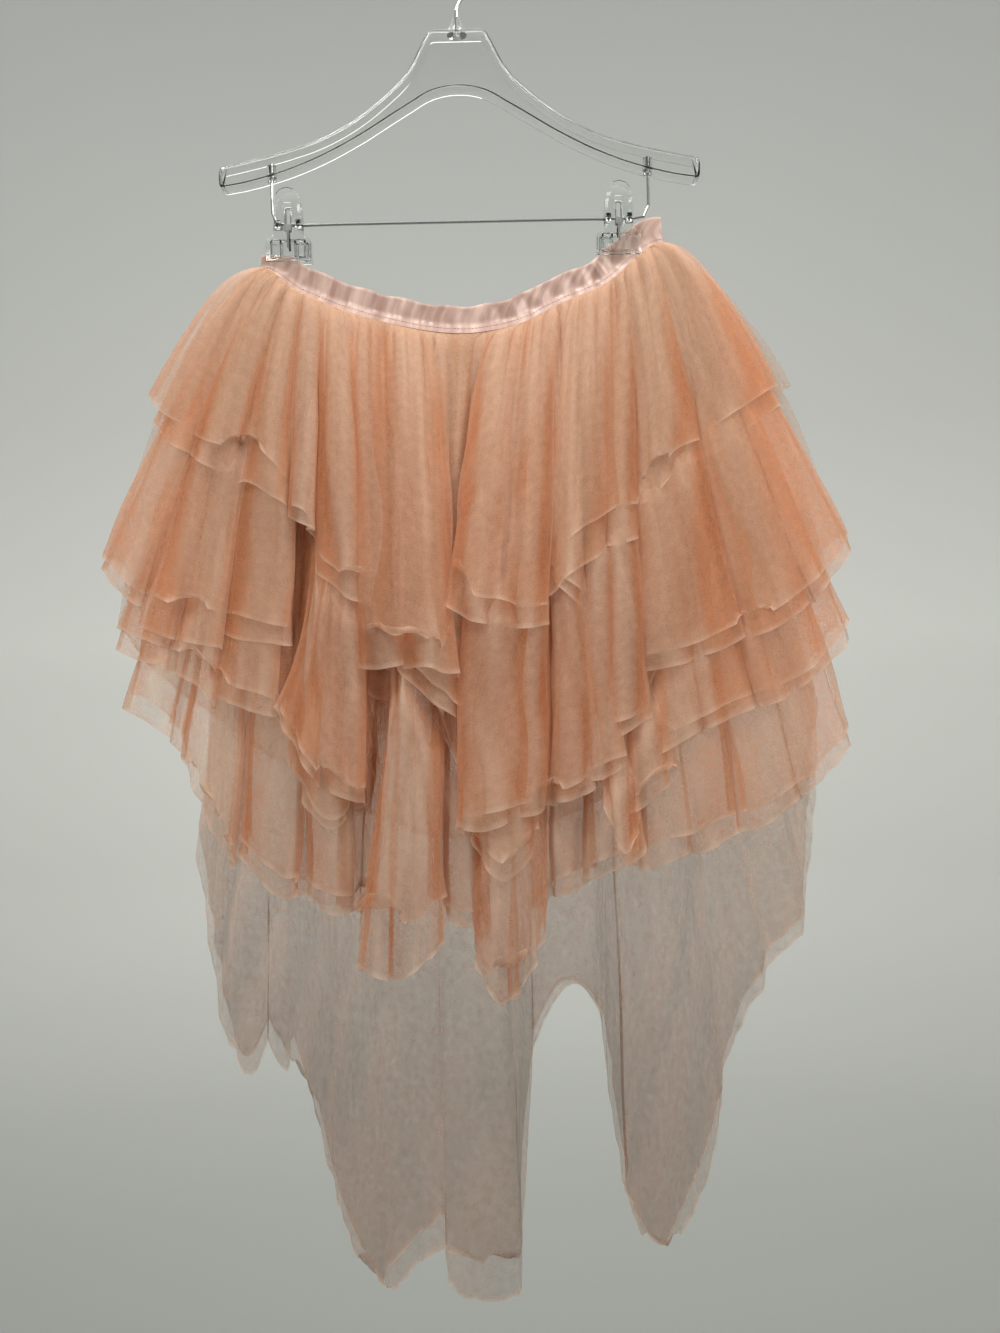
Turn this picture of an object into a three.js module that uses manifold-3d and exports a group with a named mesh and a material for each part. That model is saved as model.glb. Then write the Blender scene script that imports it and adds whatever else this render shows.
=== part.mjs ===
// A tiered tulle skirt with a high-low hem, clipped by its satin waistband to a clear plastic hanger.
// Millimetres, +Z up, +X to the right and -Y to the front. The origin is where the hook bears on a rail.
import * as THREE from "three";
import { mergeVertices } from "three/addons/utils/BufferGeometryUtils.js";
import Module from "manifold-3d";

const wasm = await Module();
wasm.setup();

// Driving dimensions of the cloth
const CLOTH = 1.0; // wall of a gathered tier
const SEAM = 0.3; // clearance between sewn pieces
const BAND_WALL = 1.4;
const BAND_HEIGHT = 26;
const TIERS = 4; // gathered layers under the band, the outermost first
const STACK = 1.5; // spacing of the layers where they meet the band
const STACK_IN = 2.5; // from the middle plane to the innermost layer at the band
const WAIST_OPEN = { most: 6, from: 0.13, to: 0.8 }; // the bow of each half of the waist, between the clips
const LAYER_GAP = 9; // what the free air adds between one tier and the next
const LAYER_RUN = 90; // drop over which that air builds up
const REACH_LEFT = 190; // how far the fan spreads past the waist, at its widest
const REACH_RIGHT = 202;
const REACH_RUN = 175; // drop that sets how fast it spreads
const REACH_POWER = 0.75;
const BULGE_FRONT = 104; // how far the tulle stands out in front of the middle plane
const BULGE_BACK = 66;
const BULGE_RUN = 150;
const FOLD_RUN = 120; // drop over which a gather opens into a full fold
const GATHER_DEPTH = 1.8; // small puckers just under the band
const GATHER_RUN = 45;
const GATHERS = 18; // on each half of the top tier

// The lower edge of the waistband, which sags between the clips
const WAIST = [
  { x: -181, z: -285 },
  { x: -146, z: -308 },
  { x: -80, z: -334 },
  { x: 0, z: -349 },
  { x: 50, z: -341 },
  { x: 88, z: -323 },
  { x: 129, z: -306 },
  { x: 182, z: -270 },
];

// One row for each large fold, left to right. at: its place along the waist, from 0 to 1. deep: crest to valley.
// lean: how far its crest leans to the right. t1 to t4: the height of each tier's hem there.
const FRONT_FOLDS = [
  { at: 0.055, deep: 14, lean: -4, t1: -412, t2: -552, t3: -618, t4: -676 },
  { at: 0.165, deep: 24, lean: -6, t1: -455, t2: -588, t3: -666, t4: -760 },
  { at: 0.26, deep: 28, lean: 5, t1: -498, t2: -634, t3: -713, t4: -838 },
  { at: 0.335, deep: 26, lean: -5, t1: -562, t2: -735, t3: -777, t4: -880 },
  { at: 0.425, deep: 32, lean: 4, t1: -632, t2: -766, t3: -832, t4: -928 },
  { at: 0.535, deep: 32, lean: -4, t1: -586, t2: -776, t3: -834, t4: -936 },
  { at: 0.645, deep: 28, lean: 6, t1: -512, t2: -748, t3: -818, t4: -852 },
  { at: 0.77, deep: 26, lean: 5, t1: -464, t2: -630, t3: -700, t4: -782 },
  { at: 0.92, deep: 16, lean: 4, t1: -415, t2: -590, t3: -662, t4: -742 },
];
const FRONT_SIDES = [
  { at: 0, t1: -398, t2: -540, t3: -604, t4: -661 },
  { at: 1, t1: -398, t2: -536, t3: -616, t4: -707 },
];
// The same for the back, seen from the front. Its fourth tier is the long train, and in moves a fold of the
// train's hem sideways, because the limp points hang straight down and don't fan out.
const BACK_FOLDS = [
  { at: 0.06, deep: 12, lean: 3, t1: -418, t2: -566, t3: -640, t4: -985, in: 92 },
  { at: 0.17, deep: 18, lean: 5, t1: -452, t2: -612, t3: -690, t4: -1004, in: 66 },
  { at: 0.28, deep: 20, lean: -4, t1: -492, t2: -664, t3: -742, t4: -1130, in: 30 },
  { at: 0.39, deep: 22, lean: 4, t1: -528, t2: -706, t3: -788, t4: -1214, in: 4 },
  { at: 0.5, deep: 22, lean: -4, t1: -540, t2: -722, t3: -806, t4: -1222, in: 12 },
  { at: 0.6, deep: 22, lean: 5, t1: -526, t2: -704, t3: -790, t4: -884, in: -2 },
  { at: 0.7, deep: 20, lean: -5, t1: -490, t2: -660, t3: -748, t4: -1180, in: -28 },
  { at: 0.82, deep: 18, lean: 4, t1: -450, t2: -608, t3: -694, t4: -1100, in: -58 },
  { at: 0.94, deep: 12, lean: -3, t1: -418, t2: -566, t3: -650, t4: -925, in: -60 },
];
const BACK_SIDES = [
  { at: 0, t1: -398, t2: -540, t3: -604, t4: -700, in: 20 },
  { at: 1, t1: -398, t2: -536, t3: -616, t4: -720, in: -10 },
];
const FRONT = { sign: -1, bulge: BULGE_FRONT, folds: FRONT_FOLDS, sides: FRONT_SIDES };
const BACK = { sign: 1, bulge: BULGE_BACK, folds: BACK_FOLDS, sides: BACK_SIDES };
const FLARE = [4, 16, 10, 0]; // extra spread of each tier's own hem

// Driving dimensions of the hanger
const HANGER_DEPTH = 24;
const HANGER_WALL = 2.4;
const ARM = [
  { x: 26, top: -76, low: -130 },
  { x: 31, top: -87, low: -133 },
  { x: 43, top: -110, low: -142 },
  { x: 58, top: -127, low: -151 },
  { x: 89, top: -152, low: -170 },
  { x: 122, top: -170, low: -187 },
  { x: 155, top: -181, low: -200 },
  { x: 188, top: -189, low: -209 },
  { x: 211, top: -194, low: -213 },
];
const ARM_END = { x: 215, top: -198, low: -211 };
const NECK_LOW = -127;
const WIRE = 3.2; // diameter of the hook
const HOOK_BEND = 20; // radius of the hook's own middle line
const BOSS = { low: -76, high: -62, wide: 9, narrow: 4 };
const ROD = { wire: 2.8, half: 169, level: -245, corner: 9, top: -190 };
const CLIP = {
  at: [-155, 142],
  half: 20, // half the width of a jaw
  neck: 13,
  tab: 11.5,
  top: 31, // above the rod
  low: 34, // below the rod
  jaw: 22, // height of the jaw
  bite: 2.4, // from the middle plane to a jaw's inner face
  wall: 2.6,
  spread: 9, // from the middle plane to a finger tab's top
};
const SPRING = { half: 3, wall: 0.8, top: 15, low: -22 };

const lerp = (a, b, t) => a + (b - a) * t;
const rise = (drop, run) => 1 - Math.exp(-drop / run);

// A value of a table's column at a place along it, on a smooth line through the rows
function along(rows, place, value, at) {
  const last = rows.length - 1;
  let i = 0;
  while (i < last - 1 && rows[i + 1][place] <= at) i++;
  const row = (n) => rows[Math.min(Math.max(n, 0), last)];
  const [a, b, c, d] = [row(i - 1), row(i), row(i + 1), row(i + 2)];
  const span = c[place] - b[place];
  const t = Math.min(Math.max((at - b[place]) / span, 0), 1);
  const turns = (p, q, r) => (q[value] - p[value]) * (r[value] - q[value]) <= 0;
  const into = turns(a, b, c) ? 0 : ((c[value] - a[value]) / (c[place] - a[place])) * span;
  const out = turns(b, c, d) ? 0 : ((d[value] - b[value]) / (d[place] - b[place])) * span;
  const t2 = t * t;
  const t3 = t2 * t;
  return (
    (2 * t3 - 3 * t2 + 1) * b[value] + (t3 - 2 * t2 + t) * into +
    (3 * t2 - 2 * t3) * c[value] + (t3 - t2) * out
  );
}

const waistX = (s) => lerp(WAIST[0].x, WAIST[WAIST.length - 1].x, s);
const waistZ = (x) => along(WAIST, "x", "z", x);
const across = (s) => 0.6 * (2 * s - 1) - 0.4 * Math.cos(Math.PI * s); // -1 at the left side, 1 at the right
const fullness = (s) => Math.sqrt(1 - Math.abs(across(s)) ** 2.6); // 0 at the sides, 1 in the middle

// How far each half of the waist stands from the middle plane between the clips
function bow(s) {
  const t = (s - WAIST_OPEN.from) / (WAIST_OPEN.to - WAIST_OPEN.from);
  return WAIST_OPEN.most * Math.sin(Math.PI * Math.min(Math.max(t, 0), 1)) ** 2;
}

// The turn of the fold wave at a place along the waist: a whole turn from one crest to the next
function turn(folds, s) {
  const crests = [
    { at: 0, n: -0.5 },
    ...folds.map((fold, n) => ({ at: fold.at, n })),
    { at: 1, n: folds.length - 0.5 },
  ];
  let i = 0;
  while (i < crests.length - 2 && crests[i + 1].at <= s) i++;
  const t = (s - crests[i].at) / (crests[i + 1].at - crests[i].at);
  return 2 * Math.PI * lerp(crests[i].n, crests[i + 1].n, t);
}

// A point on the outside of a tier. s runs along the waist, v from the band to the hem.
function tierPoint(half, tier, s, v, gathers) {
  const rows = [half.sides[0], ...half.folds, half.sides[1]];
  const folds = half.folds;
  const side = across(s);
  const edge = side * Math.abs(side) ** 3;
  const start = waistX(s) - edge * (tier - 1) * STACK;
  const top = waistZ(start) - 1.5 * SEAM;
  const drop = v * (top - along(rows, "at", "t" + tier, s));
  const air = (tier - 1) * LAYER_GAP * rise(drop, LAYER_RUN);
  const full = fullness(s);
  const reach = side < 0 ? REACH_LEFT : REACH_RIGHT;
  const spread = reach * (1 - Math.exp(-((drop / REACH_RUN) ** REACH_POWER)));
  const stack = Math.min(full / 0.18, 1) * (STACK_IN + (TIERS - tier) * STACK + bow(s));
  const bulge = full * (half.bulge * rise(drop, BULGE_RUN) - air);
  const angle = turn(folds, s);
  const open = full * rise(drop, FOLD_RUN);
  const depth = along(folds, "at", "deep", s) * open;
  const lean = along(folds, "at", "lean", s) * open;
  const limp = Math.max(2 * v - 1, 0) ** 1.5;
  const pull = tier === TIERS && half === BACK ? along(rows, "at", "in", s) * limp : 0;
  const x = start + side * spread + edge * (FLARE[tier - 1] * v ** 3 - air) + pull + lean * Math.cos(angle);
  let y = stack + bulge - 0.5 * depth * (1 - Math.cos(angle));
  if (gathers) {
    const pucker = GATHER_DEPTH * full * (drop / GATHER_RUN) * Math.exp(1 - drop / GATHER_RUN);
    y += pucker * Math.cos(2 * Math.PI * GATHERS * s);
  }
  return new THREE.Vector3(x, half.sign * (SEAM / 2 + Math.max(y, 0)), top - drop);
}

// A closed geometry from a grid of outer points and the matching inner points. ring: the columns close on themselves.
function wallGeometry(outer, inner, ring) {
  const columns = outer.length;
  const rows = outer[0].length;
  const points = [];
  for (const grid of [outer, inner]) for (const column of grid) for (const p of column) points.push(p.x, p.y, p.z);
  const outside = (i, j) => (i % columns) * rows + j;
  const inside = (i, j) => columns * rows + outside(i, j);
  const faces = [];
  const quad = (a, b, c, d) => faces.push(a, b, c, a, c, d);
  const spans = ring ? columns : columns - 1;
  for (let i = 0; i < spans; i++) {
    for (let j = 0; j < rows - 1; j++) {
      quad(outside(i, j), outside(i, j + 1), outside(i + 1, j + 1), outside(i + 1, j));
      quad(inside(i, j), inside(i + 1, j), inside(i + 1, j + 1), inside(i, j + 1));
    }
    quad(outside(i, 0), outside(i + 1, 0), inside(i + 1, 0), inside(i, 0));
    quad(outside(i, rows - 1), inside(i, rows - 1), inside(i + 1, rows - 1), outside(i + 1, rows - 1));
  }
  for (let j = 0; !ring && j < rows - 1; j++) {
    quad(outside(0, j), inside(0, j), inside(0, j + 1), outside(0, j + 1));
    quad(outside(spans, j), outside(spans, j + 1), inside(spans, j + 1), inside(spans, j));
  }
  const geometry = new THREE.BufferGeometry();
  geometry.setAttribute("position", new THREE.Float32BufferAttribute(points, 3));
  geometry.setIndex(faces);
  return geometry;
}

// One half of a tier, as a wall of even thickness
function tierGeometry(half, tier, columns, levels) {
  const gathers = tier === 1;
  const step = 1e-3;
  const outer = [];
  const inner = [];
  for (let i = 0; i <= columns; i++) {
    const u = i / columns;
    const s = u - (0.4 / (2 * Math.PI)) * Math.sin(2 * Math.PI * u);
    const outerColumn = [];
    const innerColumn = [];
    for (const v of levels) {
      const p = tierPoint(half, tier, s, v, gathers);
      const before = tierPoint(half, tier, Math.max(s - step, 0), v, gathers);
      const after = tierPoint(half, tier, Math.min(s + step, 1), v, gathers);
      const above = tierPoint(half, tier, s, Math.max(v - step, 0), gathers);
      const below = tierPoint(half, tier, s, Math.min(v + step, 1), gathers);
      const normal = after.sub(before).cross(below.sub(above)).normalize();
      if (half === BACK) normal.negate();
      const q = p.clone().addScaledVector(normal, CLOTH);
      q.z = v === 0 ? p.z : q.z;
      q.y = half.sign * Math.max(half.sign * q.y, SEAM / 2);
      outerColumn.push(p);
      innerColumn.push(q);
    }
    outer.push(outerColumn);
    inner.push(innerColumn);
  }
  const geometry = wallGeometry(outer, inner, false);
  return half === BACK ? turnedOver(geometry) : geometry;
}

// The same geometry with each face pointing the other way
function turnedOver(geometry) {
  const index = geometry.index.array;
  for (let i = 0; i < index.length; i += 3) [index[i + 1], index[i + 2]] = [index[i + 2], index[i + 1]];
  return geometry;
}

// The waistband: one closed loop of elastic, pinched at its top edge and spread by the gathers at its lower one
function waistbandGeometry() {
  const stations = 40; // on each half
  const heights = [0, 4, 14, BAND_HEIGHT];
  const outer = [];
  const inner = [];
  for (let i = 0; i < 2 * stations; i++) {
    const angle = (Math.PI * i) / stations;
    const s = (1 - Math.cos(angle)) / 2;
    const sign = i <= stations ? -1 : 1;
    const rows = heights.map((height, j) => bandPoint(s, height, sign));
    const ahead = bandPlan(angle + 0.01);
    const behind = bandPlan(angle - 0.01);
    const outward = new THREE.Vector3(ahead.y - behind.y, behind.x - ahead.x, 0).normalize();
    outer.push(rows.map((p) => p.clone().addScaledVector(outward, BAND_WALL / 2)));
    inner.push(rows.map((p) => p.clone().addScaledVector(outward, -BAND_WALL / 2)));
  }
  return turnedOver(wallGeometry(outer, inner, true));
}

// The middle of the band's wall, at a height above its lower edge
function bandPoint(s, height, sign) {
  const x = waistX(s);
  const ahead = Math.min(x + 3, waistX(1));
  const behind = Math.max(x - 3, waistX(0));
  const slope = Math.atan2(waistZ(ahead) - waistZ(behind), ahead - behind);
  const round = Math.sqrt(Math.max(1 - (2 * s - 1) ** 4, 0));
  const stack = STACK_IN + (TIERS - 1) * STACK - CLOTH / 2;
  const spread = lerp(1.4, stack, Math.max(1 - height / 4, 0));
  return new THREE.Vector3(
    x - Math.sin(slope) * height,
    sign * round * (spread + bow(s)),
    waistZ(x) + Math.cos(slope) * height,
  );
}

// The band's loop seen from above, for its outward direction
function bandPlan(angle) {
  const s = (1 - Math.cos(angle)) / 2;
  return bandPoint(s, BAND_HEIGHT / 2, Math.sin(angle) >= 0 ? -1 : 1);
}

// A closed geometry as a solid to cut and join, and back again
function solid(geometry) {
  const bare = new THREE.BufferGeometry().setAttribute("position", geometry.getAttribute("position"));
  if (geometry.index) bare.setIndex(geometry.index);
  const merged = mergeVertices(bare, 1e-4);
  return new wasm.Manifold(
    new wasm.Mesh({
      numProp: 3,
      vertProperties: new Float32Array(merged.attributes.position.array),
      triVerts: new Uint32Array(merged.index.array),
    }),
  );
}

function geometryOf(made) {
  const mesh = made.getMesh();
  const geometry = new THREE.BufferGeometry();
  geometry.setAttribute("position", new THREE.BufferAttribute(new Float32Array(mesh.vertProperties), 3));
  geometry.setIndex(new THREE.BufferAttribute(new Uint32Array(mesh.triVerts), 1));
  return geometry;
}

// An outline drawn in X and Z, made solid from one Y to another
function plate(outline, from, to) {
  const geometry = new THREE.ExtrudeGeometry(new THREE.Shape(outline), { depth: to - from, bevelEnabled: false });
  return solid(geometry.rotateX(Math.PI / 2).translate(0, to, 0));
}

// An outline drawn in Y and Z, made solid from one X to another
function profile(outline, from, to) {
  const turned = outline.map((p) => new THREE.Vector2(-p.x, p.y));
  const geometry = new THREE.ExtrudeGeometry(new THREE.Shape(turned), { depth: to - from, bevelEnabled: false });
  return solid(geometry.rotateX(Math.PI / 2).rotateZ(-Math.PI / 2).translate(to, 0, 0));
}

// An upright round bar or cone
function upright(radiusLow, radiusHigh, from, to, x, sides) {
  const geometry = new THREE.CylinderGeometry(radiusHigh, radiusLow, to - from, sides);
  return solid(geometry.rotateX(Math.PI / 2).translate(x, 0, (from + to) / 2));
}

// A bent wire with a round section
function wireGeometry(points, diameter, steps) {
  const section = new THREE.Shape();
  section.absarc(0, 0, diameter / 2, 0, 2 * Math.PI, false);
  return new THREE.ExtrudeGeometry(section, {
    steps,
    curveSegments: 4,
    extrudePath: new THREE.CatmullRomCurve3(points, false, "centripetal"),
  });
}

// The hanger's outline, both arms and the neck
function hangerOutline() {
  const mirrored = (points) => points.map((p) => new THREE.Vector2(-p.x, p.y)).reverse();
  const upper = [...ARM].reverse().map((row) => new THREE.Vector2(row.x, row.top));
  const lower = ARM.map((row) => new THREE.Vector2(row.x, row.low));
  const smooth = (points, pieces) => new THREE.SplineCurve(points).getPoints(pieces);
  const top = smooth(upper, 16);
  const bottom = smooth([...mirrored(lower), new THREE.Vector2(0, NECK_LOW), ...lower], 28);
  const end = [new THREE.Vector2(ARM_END.x, ARM_END.low), new THREE.Vector2(ARM_END.x, ARM_END.top)];
  return [...bottom, ...end, ...top, ...mirrored(top), ...mirrored(end)];
}

// An outline moved inwards by a wall's thickness
function inset(outline, by) {
  return outline.map((p, i) => {
    const before = outline[(i + outline.length - 1) % outline.length];
    const after = outline[(i + 1) % outline.length];
    const a = p.clone().sub(before).normalize();
    const b = after.clone().sub(p).normalize();
    const inward = new THREE.Vector2(-a.y - b.y, a.x + b.x).normalize();
    const corner = Math.max(inward.dot(new THREE.Vector2(-a.y, a.x)), 0.5);
    return p.clone().addScaledVector(inward, by / corner);
  });
}

// The clear body: a shell that is open at the back, with a boss for the hook and holes for the rod
function hangerGeometry() {
  const outline = hangerOutline();
  const face = -HANGER_DEPTH / 2;
  let body = plate(outline, face, -face);
  body = body.subtract(plate(inset(outline, HANGER_WALL), face + HANGER_WALL, -face + 1));
  body = body.add(upright(BOSS.wide, BOSS.narrow, BOSS.low - HANGER_WALL / 2, BOSS.high, 0, 20));
  body = body.subtract(upright(WIRE / 2 + SEAM, WIRE / 2 + SEAM, BOSS.low - 2 * HANGER_WALL, BOSS.high + 1, 0, 16));
  for (const x of [-ROD.half, ROD.half]) {
    body = body.subtract(upright(ROD.wire / 2 + SEAM, ROD.wire / 2 + SEAM, ROD.level, ROD.top - 6, x, 16));
  }
  return geometryOf(body);
}

// The hook: a stem with a riveted head inside the neck, an easy bend, and the crown over the rail
function hookGeometry() {
  const centre = WIRE / 2 - HOOK_BEND;
  const head = BOSS.low - HANGER_WALL - SEAM;
  const points = [
    new THREE.Vector3(0, 0, head - 1),
    new THREE.Vector3(0, 0, BOSS.low + 6),
    new THREE.Vector3(0, 0, BOSS.high + 3),
    new THREE.Vector3(0, 0, centre - 36),
    new THREE.Vector3(HOOK_BEND * 0.28, 0, centre - 25),
    new THREE.Vector3(HOOK_BEND * 0.78, 0, centre - 13),
  ];
  const first = -0.15;
  const sweep = Math.PI + 0.55;
  const turns = 9;
  for (let i = 0; i <= turns; i++) {
    const angle = first + (sweep * i) / turns;
    points.push(new THREE.Vector3(HOOK_BEND * Math.cos(angle), 0, centre + HOOK_BEND * Math.sin(angle)));
  }
  const wire = solid(wireGeometry(points, WIRE, 44));
  return geometryOf(wire.add(upright(WIRE + 1, WIRE + 1, head - 2, head, 0, 16)));
}

// The steel rod that the clips ride on, bent up into both arms
function rodGeometry() {
  const corner = (side) =>
    [0, 1, 2, 3, 4].map((n) => {
      const angle = (Math.PI / 2) * (n / 4);
      const x = ROD.half - ROD.corner * (1 - Math.cos(angle));
      return new THREE.Vector3(side * x, 0, ROD.level + ROD.corner * (1 - Math.sin(angle)));
    });
  const end = (side) => new THREE.Vector3(side * ROD.half, 0, ROD.top);
  const middle = [-0.6, -0.2, 0.2, 0.6].map((t) => new THREE.Vector3(t * ROD.half, 0, ROD.level));
  return wireGeometry([end(-1), ...corner(-1), ...middle, ...corner(1).reverse(), end(1)], ROD.wire, 40);
}

// One half of a clip: a finger tab above the rod and a jaw below it
function clipGeometry(x, sign) {
  const c = CLIP;
  const round = [0, 1, 2, 3, 4, 5, 6].map((n) => {
    const angle = (Math.PI * n) / 6;
    return new THREE.Vector2(x + c.tab * Math.cos(angle), ROD.level + c.top - c.tab + c.tab * Math.sin(angle));
  });
  const outline = [
    new THREE.Vector2(x - c.half, ROD.level - c.low),
    new THREE.Vector2(x + c.half, ROD.level - c.low),
    new THREE.Vector2(x + c.half, ROD.level - c.low + c.jaw - 3),
    new THREE.Vector2(x + c.half - 3, ROD.level - c.low + c.jaw),
    new THREE.Vector2(x + c.neck, ROD.level - c.low + c.jaw + 2),
    new THREE.Vector2(x + c.neck, ROD.level + 4),
    ...round,
    new THREE.Vector2(x - c.neck, ROD.level + 4),
    new THREE.Vector2(x - c.neck, ROD.level - c.low + c.jaw + 2),
    new THREE.Vector2(x - c.half + 3, ROD.level - c.low + c.jaw),
    new THREE.Vector2(x - c.half, ROD.level - c.low + c.jaw - 3),
  ];
  const seat = ROD.wire / 2 + SEAM;
  const inside = [
    { y: c.bite + 2.4, z: -c.low },
    { y: c.bite, z: -c.low + 6 },
    { y: seat + 1.6, z: -c.low + 14 },
    { y: seat, z: -5 },
    { y: seat, z: 4 },
    { y: c.spread, z: c.top },
  ];
  const side = [
    ...inside.map((p) => new THREE.Vector2(sign * p.y, ROD.level + p.z)),
    ...[...inside].reverse().map((p) => new THREE.Vector2(sign * (p.y + c.wall), ROD.level + p.z)),
  ];
  const ordered = sign > 0 ? side.reverse() : side;
  const depth = c.spread + c.wall + 1;
  let half = plate(outline, sign > 0 ? 0 : -depth, sign > 0 ? depth : 0);
  half = half.intersect(profile(ordered, x - c.half, x + c.half));
  const slot = SPRING.half + SEAM;
  const window = [
    new THREE.Vector2(x - slot, ROD.level - 8),
    new THREE.Vector2(x + slot, ROD.level - 8),
    new THREE.Vector2(x + slot, ROD.level + SPRING.top + 3),
    new THREE.Vector2(x - slot, ROD.level + SPRING.top + 3),
  ];
  return geometryOf(half.subtract(plate(window, -depth, depth)));
}

// The flat steel spring of a clip, bent over between the tabs and pressing on both jaws
function springGeometry(x) {
  const s = SPRING;
  const line = [
    { y: 7.0, z: s.low },
    { y: 5.9, z: -9 },
    { y: 4.4, z: 0 },
    { y: 3.4, z: s.top - 3 },
    { y: 1.4, z: s.top },
  ];
  const outer = [...line, ...[...line].reverse().map((p) => ({ y: -p.y, z: p.z }))];
  const inner = outer.map((p) => ({ y: p.y - Math.sign(p.y) * s.wall, z: p.z === s.top ? p.z - s.wall : p.z }));
  const strip = [...outer, ...inner.reverse()].map((p) => new THREE.Vector2(p.y, ROD.level + p.z));
  return geometryOf(profile(strip.reverse(), x - s.half, x + s.half));
}

const finish = (color, roughness, metalness, opacity = 1) =>
  new THREE.MeshStandardMaterial({ color, roughness, metalness, opacity, transparent: opacity < 1 });
const tulle = () => finish(0xd9a484, 0.85, 0, 0.75);
const satin = () => finish(0xdcb9a6, 0.32, 0);
const clear = () => finish(0xe6ebe6, 0.08, 0, 0.35);
const steel = () => finish(0xa9adaf, 0.25, 1);

const skirt = new THREE.Group();
const hanger = new THREE.Group();

function part(group, name, geometry, material) {
  const mesh = new THREE.Mesh(geometry, material);
  mesh.name = name;
  group.add(mesh);
}

const TOP_LEVELS = [0, 0.08, 0.2, 0.36, 0.65, 1];
const LEVELS = [0, 0.06, 0.18, 0.36, 0.66, 1];
const TRAIN_LEVELS = [0, 0.05, 0.15, 0.32, 0.55, 0.77, 1];
part(skirt, "waistband", waistbandGeometry(), satin());
for (const [word, half] of [["front", FRONT], ["back", BACK]]) {
  part(skirt, "tier_1_" + word, tierGeometry(half, 1, 72, TOP_LEVELS), tulle());
  part(skirt, "tier_2_" + word, tierGeometry(half, 2, 54, LEVELS), tulle());
  part(skirt, "tier_3_" + word, tierGeometry(half, 3, 54, LEVELS), tulle());
}
part(skirt, "tier_4_front", tierGeometry(FRONT, 4, 54, LEVELS), tulle());
part(skirt, "train_back", tierGeometry(BACK, 4, 60, TRAIN_LEVELS), tulle());

part(hanger, "hanger_body", hangerGeometry(), clear());
part(hanger, "hook", hookGeometry(), steel());
part(hanger, "clip_rod", rodGeometry(), steel());
for (const [word, x] of [["left", CLIP.at[0]], ["right", CLIP.at[1]]]) {
  part(hanger, "clip_" + word + "_front", clipGeometry(x, -1), clear());
  part(hanger, "clip_" + word + "_back", clipGeometry(x, 1), clear());
  part(hanger, "spring_" + word, springGeometry(x), steel());
}

const model = new THREE.Group();
model.add(skirt, hanger);
export default model;
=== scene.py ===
"""A tiered tulle skirt on a clear clip hanger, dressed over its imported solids.
Tables are in millimetres: x to the right, z up, y to the back. Meshes are in metres."""
import math

import bmesh
import bpy
import numpy as np
from mathutils import Matrix, Vector


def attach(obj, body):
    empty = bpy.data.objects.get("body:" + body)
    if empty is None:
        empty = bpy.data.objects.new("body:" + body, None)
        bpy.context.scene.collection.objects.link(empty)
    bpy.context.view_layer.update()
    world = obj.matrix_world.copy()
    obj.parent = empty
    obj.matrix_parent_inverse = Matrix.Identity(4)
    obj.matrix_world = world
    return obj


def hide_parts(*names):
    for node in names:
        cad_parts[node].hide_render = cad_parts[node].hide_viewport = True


MM = 0.001
SEED = 7

# The camera stands in front of the skirt, a little below its middle
CAMERA = {"x": 27, "away": 1250, "z": -646, "roll": -1.2, "lens": 37.5, "sensor": 36}

# Sizes of the cloth that the solids have too
SEAM = 0.3
STACK = 1.5
STACK_IN = 2.5
TIERS = 4
BULGE = {"front": 104, "back": 66}
BULGE_RUN = 150
FOLD_RUN = 120
REACH_RUN = 175
REACH_POWER = 0.75
LAYER_GAP = 9
LAYER_RUN = 90
WAIST_OPEN = {"most": 6, "from": 0.13, "to": 0.8}
BAND = {"height": 26, "wall": 1.4, "stations": 560, "flare": 9, "ripple": 0.035, "pucker": (1.7, 0.5)}
BAND_SHOWN = ((0, 0.05, 0.1, 1), (0.48, 0.92, 1, 1))  # along the waist: how much of its height stands up
PRESS = {"back": 36, "run": 70, "ahead": 40}  # how a tier is held back under the tier over it

# The lower edge of the waistband: x, z
WAIST = (
    (-181, -285), (-146, -308), (-80, -334), (0, -349),
    (50, -341), (88, -323), (129, -306), (182, -270),
)
WAIST_LEFT, WAIST_RIGHT = WAIST[0][0], WAIST[-1][0]

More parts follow.
